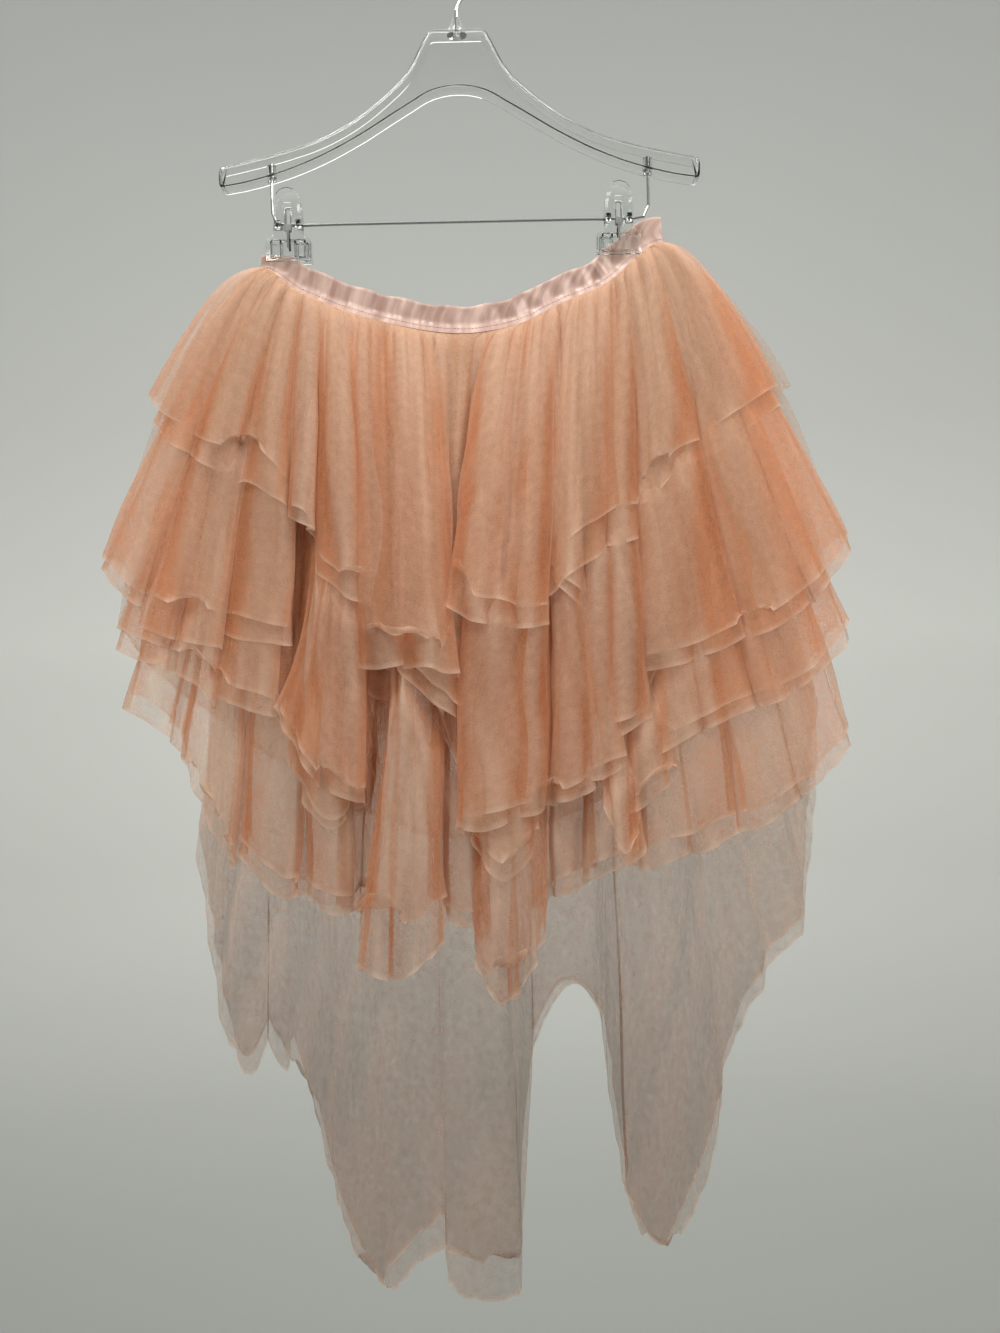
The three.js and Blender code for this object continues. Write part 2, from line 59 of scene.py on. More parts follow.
# One row for each flute of tulle, left to right, as the front shows it. waist_from, waist_to: where it is
# gathered. left_x, left_z, mid_x, mid_z, right_x, right_z: its hem. out: crest to valley. tuck: how far its
# sides turn in behind it. back: how far its crest stands behind the others. under: how much lower its
# under layer ends. late: where it isn't 0, how late its left side fans out.
FLUTE_COLUMNS = (
    "waist_from", "waist_to", "left_x", "left_z", "mid_x", "mid_z",
    "right_x", "right_z", "out", "tuck", "back", "under", "late",
)
FLUTES = {
    "tier_1": (
        (-180, -169, -281, -399, -265, -416, -245, -427, 18, 5, 0, 23, 0),
        (-169, -157, -245, -429, -226, -440, -206, -446, 20, 6, 0, 20, 0),
        (-157, -142, -206, -447, -183, -449, -163, -473, 26, 8, 2, 31, 0),
        (-142, -129, -160, -497, -148, -500, -137, -513, 18, 5, 0, 9, 0),
        (-129, -101, -136, -537, -113, -560, -84, -573, 39, 10, 0, 14, 0),
        (-101, -24, -100, -622, -61, -625, -13, -631, 44, 16, 2, 20, 0),
        (-24, 30, -21, -550, -13, -555, -5, -561, 13, 0, 40, 11, 0),
        (30, 84, -16, -571, 26, -587, 72, -591, 47, 16, 0, 20, 0),
        (84, 93, 73, -554, 88, -568, 102, -578, 16, 5, 16, 13, 0),
        (93, 148, 74, -554, 113, -517, 157, -500, 44, 16, 2, 31, 0),
        (148, 172, 159, -492, 188, -457, 215, -444, 34, 12, 2, 16, 0),
        (172, 182, 216, -444, 246, -419, 282, -399, 21, 6, 0, 18, 0),
    ),
    "tier_2": (
        (-180, -171, -328, -541, -311, -559, -293, -573, 18, 5, 0, 13, 0),
        (-171, -158, -293, -574, -256, -585, -223, -593, 21, 7, 0, 31, 0),
        (-158, -137, -223, -593, -190, -600, -160, -606, 29, 9, 2, 16, 0),
        (-137, -130, -160, -619, -153, -628, -143, -619, 8, 0, 62, 0, 0),
        (-130, -87, -173, -669, -139, -738, -96, -753, 44, 12, 0, 11, 3.4),
        (-87, -58, -91, -669, -80, -675, -69, -664, 10, 0, 62, 5, 0),
        (-58, 6, -66, -632, -34, -659, -7, -684, 29, 8, 10, 11, 0),
        (6, 84, -16, -779, 26, -777, 69, -761, 47, 16, 0, 11, 0),
        (84, 102, 71, -761, 91, -756, 110, -746, 18, 6, 10, 9, 0),
        (102, 117, 106, -740, 121, -735, 135, -729, 18, 6, 8, 9, 0),
        (117, 137, 128, -702, 145, -694, 162, -685, 23, 8, 4, 11, 0),
        (137, 162, 160, -640, 202, -628, 248, -610, 34, 12, 0, 13, 0),
        (162, 182, 248, -610, 297, -588, 344, -535, 26, 8, 0, 14, 0),
    ),
    "tier_3": (
        (-180, -171, -317, -605, -296, -613, -273, -622, 16, 4, 0, 20, 0),
        (-171, -158, -273, -626, -252, -633, -231, -662, 18, 6, 0, 18, 0),
        (-158, -137, -229, -650, -203, -663, -173, -672, 23, 8, 2, 16, 0),
        (-137, -101, -163, -713, -140, -774, -111, -769, 31, 10, 4, 9, 0),
        (-101, -60, -109, -769, -100, -770, -91, -764, 10, 0, 60, 4, 0),
        (-60, -21, -92, -640, -59, -646, -22, -687, 34, 12, 8, 5, 2.4),
        (-21, 51, -3, -786, 32, -828, 56, -793, 36, 12, 2, 11, 0),
        (51, 88, 60, -769, 88, -752, 115, -746, 21, 5, 26, 9, 0),
        (88, 117, 117, -747, 133, -816, 151, -795, 26, 9, 2, 11, 0),
        (117, 135, 142, -771, 161, -761, 181, -744, 21, 7, 4, 9, 0),
        (135, 162, 168, -716, 211, -693, 254, -676, 29, 10, 0, 13, 0),
        (162, 182, 254, -676, 306, -653, 341, -613, 21, 6, 0, 14, 0),
    ),
    "tier_4": (
        (-180, -171, -307, -661, -289, -670, -266, -690, 16, 4, 0, 18, 0),
        (-171, -158, -262, -703, -242, -761, -216, -803, 21, 7, 2, 20, 0),
        (-158, -137, -210, -793, -186, -822, -155, -835, 23, 8, 4, 16, 0),
        (-137, -100, -152, -835, -130, -846, -109, -850, 21, 8, 10, 14, 0),
        (-100, -60, -121, -850, -112, -854, -102, -854, 10, 0, 56, 7, 0),
        (-60, -17, -106, -874, -79, -883, -28, -852, 52, 16, -14, 40, 2.4),
        (-17, 12, -28, -860, -10, -867, 8, -861, 18, 6, 16, 9, 0),
        (12, 81, -3, -892, 32, -933, 63, -865, 44, 15, 2, 13, 0),
        (81, 111, 67, -843, 82, -836, 101, -828, 18, 4, 30, 11, 0),
        (111, 135, 100, -828, 124, -821, 150, -813, 23, 8, 4, 13, 0),
        (135, 162, 150, -813, 195, -799, 240, -782, 26, 9, 2, 18, 0),
        (162, 182, 240, -782, 295, -756, 342, -707, 18, 6, 0, 18, 0),
    ),
    "train": (
        (-180, -176, -246, -785, -235, -878, -223, -960, 3, 0, 2, 27, 0),
        (-176, -167, -221, -967, -209, -991, -190, -966, 4, 1, 2, 16, 0),
        (-167, -157, -188, -960, -178, -980, -169, -991, 4, 1, 2, 14, 0),
        (-157, -119, -168, -995, -149, -1044, -129, -1127, 6, 1, 0, -18, 0),
        (-119, -82, -127, -1127, -112, -1176, -88, -1216, 6, 1, 0, -14, 0),
        (-82, -39, -86, -1215, -60, -1186, -32, -1165, 6, 1, 2, -27, 0),
        (-39, 6, -33, -1167, 3, -1184, 34, -1181, 6, 1, 0, 31, 0),
        (6, 42, 36, -1172, 38, -1082, 50, -991, 5, 1, 2, -22, 0),
        (42, 88, 52, -983, 82, -937, 110, -958, 4, 1, 4, -9, 0),
        (88, 115, 113, -988, 121, -1064, 131, -1122, 6, 1, 0, -18, 0),
        (115, 135, 133, -1129, 146, -1165, 167, -1181, 6, 1, 0, -11, 0),
        (135, 153, 171, -1175, 199, -1123, 217, -1052, 5, 1, 0, -20, 0),
        (153, 168, 219, -1021, 240, -969, 258, -943, 4, 1, 0, -16, 0),
        (168, 176, 261, -921, 279, -905, 295, -893, 3, 0, 0, -14, 0),
        (176, 182, 298, -863, 307, -773, 312, -683, 2, 0, 0, -9, 0),
    ),
}
# The back tiers hang in plainer folds: places along the waist, how deep each fold is, and each tier's hem
BACK_AT = (0, 0.06, 0.17, 0.28, 0.39, 0.5, 0.6, 0.7, 0.82, 0.94, 1)
BACK_DEEP = (0, 12, 18, 20, 22, 22, 22, 20, 18, 12, 0)
BACK_HEMS = {
    "tier_1": (-398, -418, -452, -492, -528, -540, -526, -490, -450, -418, -398),
    "tier_2": (-540, -566, -612, -664, -706, -722, -704, -660, -608, -566, -536),
    "tier_3": (-604, -640, -690, -742, -788, -806, -790, -748, -694, -650, -616),
}
REACH = {"left": 190, "right": 202}
FLARE = {"tier_1": 4, "tier_2": 16, "tier_3": 10}

# The tulle's colour and its painted light: painted shade makes the lowest tier and the train darker further
# down and deep and red between the layers, and a painted highlight makes it pale along a cut edge or a sharp
# crease
TULLE_COLOUR = (1.0, 0.68, 0.475)
LOW_SHADED_COLOUR = (0.62, 0.28, 0.145)
TRAIN_SHADED_COLOUR = (0.41, 0.248, 0.163)
PAINTED_SHADE_COLOUR = (1.0, 0.32, 0.06, 1)
PAINTED_HIGHLIGHT_COLOUR = (0.99, 0.76, 0.60, 1)
# How far down painted shade turns the tulle from the first colour to its darker colour low down
SHADE_FALL = {"from": 380, "run": 330}
# The net: size of its mottle and its grain, how much more an edge stops, what light loses in passing it
NET = {"mottle": 110, "grain": 800, "edge": 0.25, "edge_run": 1.5, "through": 0.45, "dimmed": 0.03}
# The grid on which the outermost cloth is found: its cells, its corner and how many cells are averaged
MAP = {"cell": 4, "wide": 200, "high": 270, "reach": 5, "left": -400, "low": -1300}
# Depth behind the outermost cloth, and below the crests beside it, at which painted shade turns the tulle
# darker and redder
SHADE = {"from": 10, "run": 32}
VALLEY = {"columns": (3, 6, 10, 14), "from": 1.2, "run": 6.5, "front": 0.6, "back": 0.1}

# Where a hem is folded up at the front: from x to x, and how high
CURLS = {
    "tier_1": ((-108, -22, 9), (-22, 4, 12), (-212, -176, 7), (150, 176, 8)),
    "tier_2": ((-262, -228, 6), (-130, -100, 8), (52, 78, 9), (236, 268, 6)),
    "tier_3": ((-250, -214, 10), (26, 56, 8), (136, 176, 9)),
    "tier_4": ((-104, -56, 18), (14, 48, 14), (-250, -214, 9)),
    "train": ((-170, -146, 7), (-116, -84, 10), (2, 36, 7), (150, 180, 9)),
}

# The sewing on the band, in metres for the stitches and millimetres for where they run
SEAM_LINE = {"up": 4.6, "proud": 0.15, "gather_proud": 0.6, "gather_down": 0.9}
STITCH = {
    "top": {"Spacing": 0.0032, "Stitch length": 0.0023, "Thread width": 0.00055},
    "gather": {"Spacing": 0.0052, "Stitch length": 0.0022, "Thread width": 0.0011},
}

# The clear hanger: x, top and lower edge of an arm, then its tip, the neck's corner and its wall
ARM = (
    (26, -76, -130), (31, -87, -133), (43, -110, -142), (58, -127, -151), (89, -152, -170),
    (122, -170, -187), (155, -181, -200), (188, -189, -209), (211, -194, -213),
)
ARM_TIP = ((211, -194), (213.6, -195.6), (215, -199), (215, -208.5), (213.8, -211.8), (211, -213))
NECK_CORNER = ((0, -76), (20, -76), (24.4, -76.8), (26.8, -79.4))
NECK_LOW = -127
NECK_ARCH = ((14, -128.4), (28, -133))
HANGER = {"depth": 24, "wall": 2.4, "corner": 3.4}
# Closed sections, radius and height, of the boss and of the tubes round the rod's ends
BOSS = (
    (1.9, -75.8), (9, -75.8), (8.6, -74), (6.6, -68.5), (5, -64.5), (4.3, -62.6), (3.6, -62.1), (1.9, -62.1),
)
ROD = {"half": 169, "tube": ((1.8, -206), (3.9, -206), (3.9, -191.5), (3.4, -191), (1.8, -191))}

# The clips: where they hang, and on each jaw its ribs (across, level, width, height) and its rod barrels
CLIP = {
    "left": -155, "right": 142, "rod_level": -245, "eased": 0.6,
    "rib_out": 5.6, "rib_deep": 2.6,
    "ribs": (
        (-15, -268, 1.8, 15), (-6.5, -268, 1.8, 15), (6.5, -268, 1.8, 15), (15, -268, 1.8, 15),
        (0, -260.5, 31, 1.8), (0, -275.5, 31, 1.8),
    ),
    "barrel": (5, 5, 7), "barrel_at": 9.4, "barrel_out": 4.4, "barrel_eased": 1.1,
}
# The flat spring of a clip: its half width, its wall, the rails of its frame and the reach of its clasp and
# tongue, then how far out it stands at each level from the rod
SPRING = {
    "half": 3, "wall": 0.8, "rail": 0.9, "clasp": 6, "tongue": 1.8,
    "levels": (-22, -9, 0, 12, 15), "out": (7.0, 5.9, 4.4, 3.4, 1.4),
}

# How each layer of tulle is laid: half, tier number, columns and rows of its mesh, how its flutes fan out,
# how much light it stops, its colour low down (on the lowest tier and the train a painted shade) and how much
# a crease in it shows (denser net and a painted highlight)
LAYER_COLUMNS = ("half", "number", "columns", "rows", "fan", "cover", "colour", "crease")
LAYER_ROWS = {
    "tier_1": ("front", 1, 460, 60, 0.63, 0.35, TULLE_COLOUR, 0.2),
    "tier_2": ("front", 2, 420, 76, 0.80, 0.35, TULLE_COLOUR, 0.2),
    "tier_3": ("front", 3, 380, 84, 0.85, 0.30, TULLE_COLOUR, 0.2),
    "tier_4": ("front", 4, 380, 96, 0.85, 0.29, LOW_SHADED_COLOUR, 0.2),
    "train": ("back", 4, 340, 120, 0.85, 0.35, TRAIN_SHADED_COLOUR, 0.07),
}
UNDER_FEWER = 60  # columns that an under layer has fewer
BACK_COLUMNS = 260
HEM_RUN = 700  # over which the unevenness of a cut hem is laid
# The cut that is told for a sheet: at what share of its longest drop its width counts, and how much of the
# area of its mesh is cloth, as the small waves add a little
LAYERS = {tier: dict(zip(LAYER_COLUMNS, row)) for tier, row in LAYER_ROWS.items()}
# A flute across its width: share of the width, depth as a share of out, and which way it is tucked in
CRISP = ((0, 1, 1), (0, 0.6, 0), (0.2, 0.16, 0), (0.5, 0, 0), (0.8, 0.16, 0), (1, 0.6, 0), (1, 1, -1))
LIMP = ((0, 1, 0), (0.16, 0.72, 0), (0.34, 0.2, 0), (0.5, 0, 0), (0.66, 0.2, 0), (0.84, 0.72, 0), (1, 1, 0))
CREST_ROW = 3  # the row of CRISP that is the crest
WIDE_FLUTE = 64  # a flute this wide has two folds in its under layer
# How high the small waves are: gathers under the band, streaks down, folds that slant one way and the
# other, the ruffle of the cut edge, and what share of a wave moves the cloth sideways
CRISP_WAVES = {"gather": 7.5, "streak": 0.7, "slant": 2.4, "cross": 1, "ruffle": 3.6, "aside": 1}
LIMP_WAVES = {"gather": 4, "streak": 0.25, "slant": 8, "cross": 2.4, "ruffle": 4.5, "aside": 0.15}
# From crest to crest of those waves
PITCH = {"gather": (15, 37), "streak": (27, 12), "slant": 75, "cross": 38, "ruffle": 34, "hem": 26}
TOP_HIDDEN = 3  # how far the tulle goes up behind the band

# The satin's dark and light colours, laid in broad patches, are painted shade and painted sheen; then how it
# is stretched and the sizes of its cords and patches
SATIN = {
    "dark": (0.48, 0.29, 0.235, 1), "light": (0.80, 0.57, 0.48, 1), "stretch": (1, 0.12, 1),
    "cords": 1400, "sheen_patches": 90,
}
PINK_THREAD = (0.60, 0.36, 0.29)
PEACH_THREAD = (0.50, 0.20, 0.10)
# The wall and floor: radius and height in metres, and its colour low, in the middle and high, where painted
# shade darkens it low down and high up
BOWL = (
    (0.0002, -2.1), (2.6, -2.1), (3.4, -2.05), (4.0, -1.85), (4.4, -1.4), (4.6, -0.7), (4.7, 0.4), (4.7, 3.6),
)
WALL_SHADE_TONES = {0: (0.34, 0.351, 0.332, 1), 0.35: (0.585, 0.597, 0.568, 1), 1: (0.38, 0.39, 0.378, 1)}
# The sun-like lights: direction, strength, softness in degrees
SUNS = {
    "light_left": ((0.55, 0.6, -0.9), 2.3, 25),
    "light_right": ((-0.6, 0.55, -0.85), 1.98, 25),
    "light_behind": ((0.15, -0.75, -0.65), 0.7, 40),
}
LAMP = {"place": (1.3, -1.9, 0.8), "target": (0, 0, -0.4), "size": 0.7, "watts": 12}
LAMP_COLOUR = (1.0, 0.985, 0.96)
ROOM = {"colour": (0.92, 0.94, 0.93, 1), "strength": 0.52}


def rise(drop, run):
    """Goes from 0 towards 1 down from the band."""
    return 1 - np.exp(-np.maximum(drop, 0) / run)


def ease(t):
    """A smooth step from 0 to 1."""
    t = np.clip(t, 0, 1)
    return t * t * (3 - 2 * t)


def along(rows, at):
    """The value of a table of (place, value) rows at each place, on a smooth line that keeps to its rows."""
    places, values = (np.array(c, float) for c in zip(*rows))
    tangent = np.zeros(len(rows))
    step = np.diff(values)
    turns = step[:-1] * step[1:] <= 0
    tangent[1:-1] = np.where(turns, 0, (values[2:] - values[:-2]) / (places[2:] - places[:-2]))
    i = np.clip(np.searchsorted(places, at, side="right") - 1, 0, len(rows) - 2)
    span = places[i + 1] - places[i]
    t = np.clip((at - places[i]) / span, 0, 1)
    ahead = 3 * t**2 - 2 * t**3
    return (
        (1 - ahead) * values[i] + ahead * values[i + 1]
        + span * ((t**3 - 2 * t**2 + t) * tangent[i] + (t**3 - t**2) * tangent[i + 1])
    )


def waist_z(x):
    """The height of the band's lower edge."""
    return along(WAIST, x)


def waist_share(x):
    """The share of the waist at x, from its left end."""
    return np.clip((x - WAIST_LEFT) / (WAIST_RIGHT - WAIST_LEFT), 0, 1)


def sideways(s):
    """How far a share of the waist lies to the side: -1 at the left end, 1 at the right."""
    return 0.6 * (2 * s - 1) - 0.4 * np.cos(math.pi * s)


def fullness(s):
    """How far the skirt stands out at a share of the waist: 0 at the sides, 1 in the middle."""
    return np.sqrt(np.maximum(1 - np.abs(sideways(s)) ** 2.6, 0))


def bow(s):
    """How far the band is pushed open at a share of the waist."""
    t = np.clip((s - WAIST_OPEN["from"]) / (WAIST_OPEN["to"] - WAIST_OPEN["from"]), 0, 1)
    return WAIST_OPEN["most"] * np.sin(math.pi * t) ** 2


def stacked(s, full, number):
    """How far out a layer lies on those within it, at the band."""
    return np.minimum(full / 0.18, 1) * (STACK_IN + (TIERS - number) * STACK + bow(s)[:, None])


def spread(drop):
    """How much of its way to the side a back tier has gone at a drop below the band."""
    return 1 - np.exp(-((np.maximum(drop, 0) / REACH_RUN) ** REACH_POWER))


def through(points, count, pull):
    """Columns on a smooth line through control columns, evenly spaced along it."""
    p = np.vstack([2 * points[0] - points[1], points, 2 * points[-1] - points[-2]])
    u = np.linspace(0, len(points) - 1, 40 * len(points))

    def on_line(u):
        i = np.clip(u.astype(int), 0, len(points) - 2)
        t = (u - i)[:, None]
        a, b, c, d = (p[i + n] for n in range(4))
        return b + 0.5 * t * (c - a + t * (2 * a - 5 * b + 4 * c - d + t * (3 * (b - c) + d - a)))

    steps = np.diff(on_line(u), axis=0)
    weights = np.array(pull)
    lengths = np.concatenate([[0], np.cumsum(np.sqrt(((steps * weights) ** 2).sum(1)))])
    return on_line(np.interp(np.linspace(0, lengths[-1], count), lengths, u))


def under_flutes(tier):
    """The under layer follows the same flutes a little behind and lower. A wide one has two folds in it."""
    rng = np.random.default_rng(SEED + 20 + LAYERS[tier]["number"])
    made = []
    for row in FLUTES[tier]:
        f = dict(zip(FLUTE_COLUMNS, row))
        wide = f["right_x"] - f["left_x"]
        fall = f["right_z"] - f["left_z"]
        parts = 2 if wide > WIDE_FLUTE else 1
        swell = 4 * (f["mid_z"] - (f["left_z"] + f["right_z"]) / 2)
        cut = 0.5 + rng.uniform(-0.14, 0.14)
        marks = [0, cut, 1] if parts == 2 else [0, 1]
        for a, b in zip(marks[:-1], marks[1:]):
            shares = np.array([a, (a + b) / 2, b])
            x = f["left_x"] + wide * shares + rng.uniform(-3, 3)
            z = f["left_z"] + fall * shares + swell * shares * (1 - shares) - f["under"]
            waist = f["waist_from"] + (f["waist_to"] - f["waist_from"]) * shares
            out, tuck = (0.62, 0.3) if parts == 2 else (0.85, 0.8)
            made.append((
                waist[0], waist[2], x[0], z[0], x[1], z[1] - rng.uniform(0, 5), x[2], z[2],
                f["out"] * out, f["tuck"] * tuck, f["back"] + 4, 0, f["late"] if a == 0 else 0,
            ))
    return made


def flute_controls(tier, under=False):
    """Control columns of a tier: waist x, hem x, hem z, depth behind the front, how late it flares."""
    columns = []
    fan = LAYERS[tier]["fan"]
    for row in under_flutes(tier) if under else FLUTES[tier]:
        f = dict(zip(FLUTE_COLUMNS, row))
        for share, deep, tucked in LIMP if tier == "train" else CRISP:
            hem = []
            for axis in ("x", "z"):
                a, b, c = (f[f"{side}_{axis}"] for side in ("left", "mid", "right"))
                swell = 4 * (b - (a + c) / 2)
                hem.append(a + (c - a) * share + swell * share * (1 - share))
            inner = 0.06 + 0.88 * share if tucked == 0 else share
            columns.append((
                f["waist_from"] + (f["waist_to"] - f["waist_from"]) * inner,
                hem[0] + tucked * f["tuck"],
                hem[1],
                f["back"] + deep * f["out"],
                fan + (f["late"] - fan) * max(1 - 1.6 * share, 0) if f["late"] else fan,
            ))
    return np.array(columns, float)


def hem_over(number, waist_x):
    """The hem height of the tier over this one, at places along the waist."""
    crests = flute_controls(f"tier_{number - 1}")[CREST_ROW::len(CRISP)]
    return np.interp(waist_x, crests[:, 0], crests[:, 2])


def as_seen(x, y, z):
    """Moves points so that the camera sees them where their x and z say, at whatever depth they are."""
    near = (CAMERA["away"] + y) / CAMERA["away"]
    return CAMERA["x"] + (x - CAMERA["x"]) * near, y, CAMERA["z"] + (z - CAMERA["z"]) * near


def fluted_sheet(tier, under):
    """The points of one sheet of tulle, columns by rows, and the drop from the band and to the hem."""
    layer = LAYERS[tier]
    number = layer["number"]
    columns = layer["columns"] - (UNDER_FEWER if under else 0)
    waist, hem_x, hem_z, deep, flare = through(flute_controls(tier, under), columns, pull=(0.6, 1, 1, 1, 0)).T
    rng = np.random.default_rng(SEED + number + (50 if under else 0))
    run = np.linspace(0, HEM_RUN, columns)
    hem_z = hem_z + 2.2 * uneven_waves(rng, run, PITCH["hem"], 0.6)
    waist = np.clip(waist, WAIST_LEFT, WAIST_RIGHT)
    s = waist_share(waist)
    full = fullness(s)[:, None]
    top = waist_z(waist) + TOP_HIDDEN
    length = top - hem_z
    share = np.linspace(0, 1, layer["rows"]) ** 1.12
    drop = length[:, None] * share
    x = waist[:, None] + (hem_x - waist)[:, None] * share ** flare[:, None]
    press = 0
    if layer["half"] == "front" and number > 1:
        over = hem_over(number, waist)
        press = 1 - ease((drop - (top - over)[:, None] + PRESS["ahead"]) / PRESS["run"])
    stack = stacked(s, full, number)
    air = (number - 1) * LAYER_GAP * rise(drop, LAYER_RUN) + PRESS["back"] * press * rise(drop, FOLD_RUN)
    out = np.maximum(full * (BULGE[layer["half"]] * rise(drop, BULGE_RUN) - air), 0) + 0.5
    folded = 1.25 * deep[:, None] * rise(drop, FOLD_RUN * 0.6) * (1 - 0.4 * press)
    out = stack * np.exp(-folded / 40) + out * np.exp(-folded / (1.4 * out))
    sign = -1 if layer["half"] == "front" else 1
    points = np.stack(as_seen(x, sign * (out + SEAM / 2), top[:, None] - drop), axis=-1)
    return points, drop, length[:, None] - drop, rng


def folded_sheet(tier):
    """The same for a back tier, from its table of plain folds."""
    layer = LAYERS[tier]
    number = layer["number"]
    s = np.linspace(0, 1, BACK_COLUMNS)
    side = sideways(s)
    edge = side * np.abs(side) ** 3
    waist = WAIST_LEFT + s * (WAIST_RIGHT - WAIST_LEFT) - edge * (number - 1) * STACK
    top = waist_z(waist) - 1.5 * SEAM
    length = top - along(list(zip(BACK_AT, BACK_HEMS[tier])), s)
    v = np.linspace(0, 1, layer["rows"]) ** 1.1
    drop = length[:, None] * v
    full = fullness(s)[:, None]
    crest = np.interp(s, BACK_AT, np.arange(len(BACK_AT)))
    deep = (along(list(zip(BACK_AT, BACK_DEEP)), s) * 0.5 * (1 - np.cos(2 * math.pi * crest)))[:, None]
    reach = np.where(side < 0, REACH["left"], REACH["right"])[:, None]
    air = (number - 1) * LAYER_GAP * rise(drop, LAYER_RUN)
    x = waist[:, None] + side[:, None] * reach * spread(drop) + edge[:, None] * (FLARE[tier] * v**3 - air)
    stack = stacked(s, full, number)
    out = stack + full * (BULGE["back"] * rise(drop, BULGE_RUN) - air) - full * deep * rise(drop, FOLD_RUN)
    points = np.stack([x, np.maximum(out, 0) + SEAM / 2, top[:, None] - drop], axis=-1)
    return points, drop, length[:, None] - drop, np.random.default_rng(SEED + 10 + number)


def normals_of(points):
    """Which way the cloth faces at each point."""
    across = np.gradient(points, axis=0)
    down = np.gradient(points, axis=1)
    normal = np.cross(down, across)
    return normal / np.maximum(np.linalg.norm(normal, axis=-1, keepdims=True), 1e-9)


def lengths_along(points, axis):
    """The distance along the cloth from its first column or row."""
    steps = np.linalg.norm(np.diff(points, axis=axis), axis=-1)
    total = np.cumsum(steps, axis=axis)
    return np.concatenate([np.zeros_like(total.take([0], axis=axis)), total], axis=axis)


def uneven_waves(rng, at, pitch, jitter, pinch=1.0):
    """A wave with crests unevenly spaced and unevenly high. pinch under 1: broad crests, tight valleys."""
    count = int(at.max() / (pitch * (1 - jitter))) + 3
    gaps = pitch * (1 + jitter * rng.uniform(-1, 1, count))
    crests = np.concatenate([[0], np.cumsum(gaps)])
    high = rng.uniform(0.35, 1, len(crests))
    phase = np.interp(at, crests, np.arange(len(crests)))
    wave = 2 * np.abs(np.cos(math.pi * phase)) ** (2 * pinch) - 1
    return np.interp(at, crests, high) * wave


def soften(points, drop, to_hem, rng, gather, streak, slant, cross, ruffle, aside):
    """Adds the gathers under the band, long soft streaks, slanting folds and the ripple of the cut edge."""
    waist_run = lengths_along(points[:, :1], 0)
    hem_run = lengths_along(points[:, -1:], 0)
    fade = rise(drop, 7) * np.exp(-drop / 55)
    fine, broad = PITCH["gather"]
    height = gather * uneven_waves(rng, waist_run, fine, 0.5, 0.3) * fade
    height += gather * uneven_waves(rng, waist_run, broad, 0.45, 0.35) * rise(drop, 14) * np.exp(-drop / 140)
    mixed = waist_run * 0.5 + hem_run * 0.5
    wide, narrow = PITCH["streak"]
    height += streak * uneven_waves(rng, mixed, wide, 0.6) * rise(drop, 80)
    height += 0.5 * streak * uneven_waves(rng, hem_run, narrow, 0.6) * rise(drop, 160)
    down_right = hem_run * 0.8 + 0.5 * drop
    height += slant * uneven_waves(rng, down_right, PITCH["slant"], 0.5, 0.8) * rise(drop, 160)
    down_left = hem_run + 160 - 0.25 * drop
    height += cross * uneven_waves(rng, down_left, PITCH["cross"], 0.6) * rise(drop, 200)
    height += ruffle * uneven_waves(rng, hem_run, PITCH["ruffle"], 0.6) * np.exp(-to_hem / 18)
    return points + normals_of(points) * height[..., None] * (aside, 1, 1)


def turn_up(points, to_hem, curls):
    """Folds the hem forward and up, between two places, so that its fold runs out to nothing at both."""
    hem = points[:, -1, 0]
    for left, right, height in curls:
        middle, half = (left + right) / 2, (right - left) / 2
        turn = (height * np.clip(1 - np.abs((hem - middle) / half) ** 4, 0, 1))[:, None]
        over = np.maximum(turn - to_hem, 0)
        out = np.sign(points[..., 1]) * 2.6 * np.minimum(over / 2, 1)
        points[..., 2] += 1.8 * over
        points[..., 1] += out
    return points


def front_map(sheets):
    """How far out the outermost cloth of one half is, as a grid over x and z, evened out a little."""
    far = np.zeros((MAP["wide"], MAP["high"]))
    for points in sheets:
        i, j = map_cells(points)
        np.maximum.at(far, (i, j), np.abs(points[..., 1]))
    held = (far > 0).astype(float)
    n = MAP["reach"]
    total, weight = np.zeros_like(far), np.zeros_like(far)
    for dx in range(-n, n + 1):
        for dz in range(-n, n + 1):
            total += np.roll(far * held, (dx, dz), (0, 1))
            weight += np.roll(held, (dx, dz), (0, 1))
    return total / np.maximum(weight, 1)


def map_cells(points):
    """The cell of the grid in which each point lies."""
    i = ((points[..., 0] - MAP["left"]) / MAP["cell"]).astype(int).clip(0, MAP["wide"] - 1)
    j = ((points[..., 2] - MAP["low"]) / MAP["cell"]).astype(int).clip(0, MAP["high"] - 1)
    return i, j


def hidden_depth(points, front):
    """How far each point lies behind the outermost cloth, 0 to 1."""
    return ease((front[map_cells(points)] - np.abs(points[..., 1]) - SHADE["from"]) / SHADE["run"])


def valley_depth(points):
    """How deep each point lies in the valley between the folds beside it, 0 to 1."""
    out = np.abs(points[..., 1])
    crest = out
    for step in VALLEY["columns"]:
        crest = np.maximum(crest, np.maximum(np.roll(out, step, axis=0), np.roll(out, -step, axis=0)))
    return ease((crest - out - VALLEY["from"]) / VALLEY["run"])


def curvature(points):
    """How sharply the cloth bends across its folds, 0 to 1."""
    normal = normals_of(points)
    bend = np.linalg.norm(np.gradient(normal, axis=0), axis=-1)
    width = np.linalg.norm(np.gradient(points, axis=0), axis=-1)
    return np.clip(bend / np.maximum(width, 0.3) * 9, 0, 1)


def put_in_scene(name, data):
    """A new object at the origin."""
    thing = bpy.data.objects.new(name, data)
    bpy.context.scene.collection.objects.link(thing)
    return thing


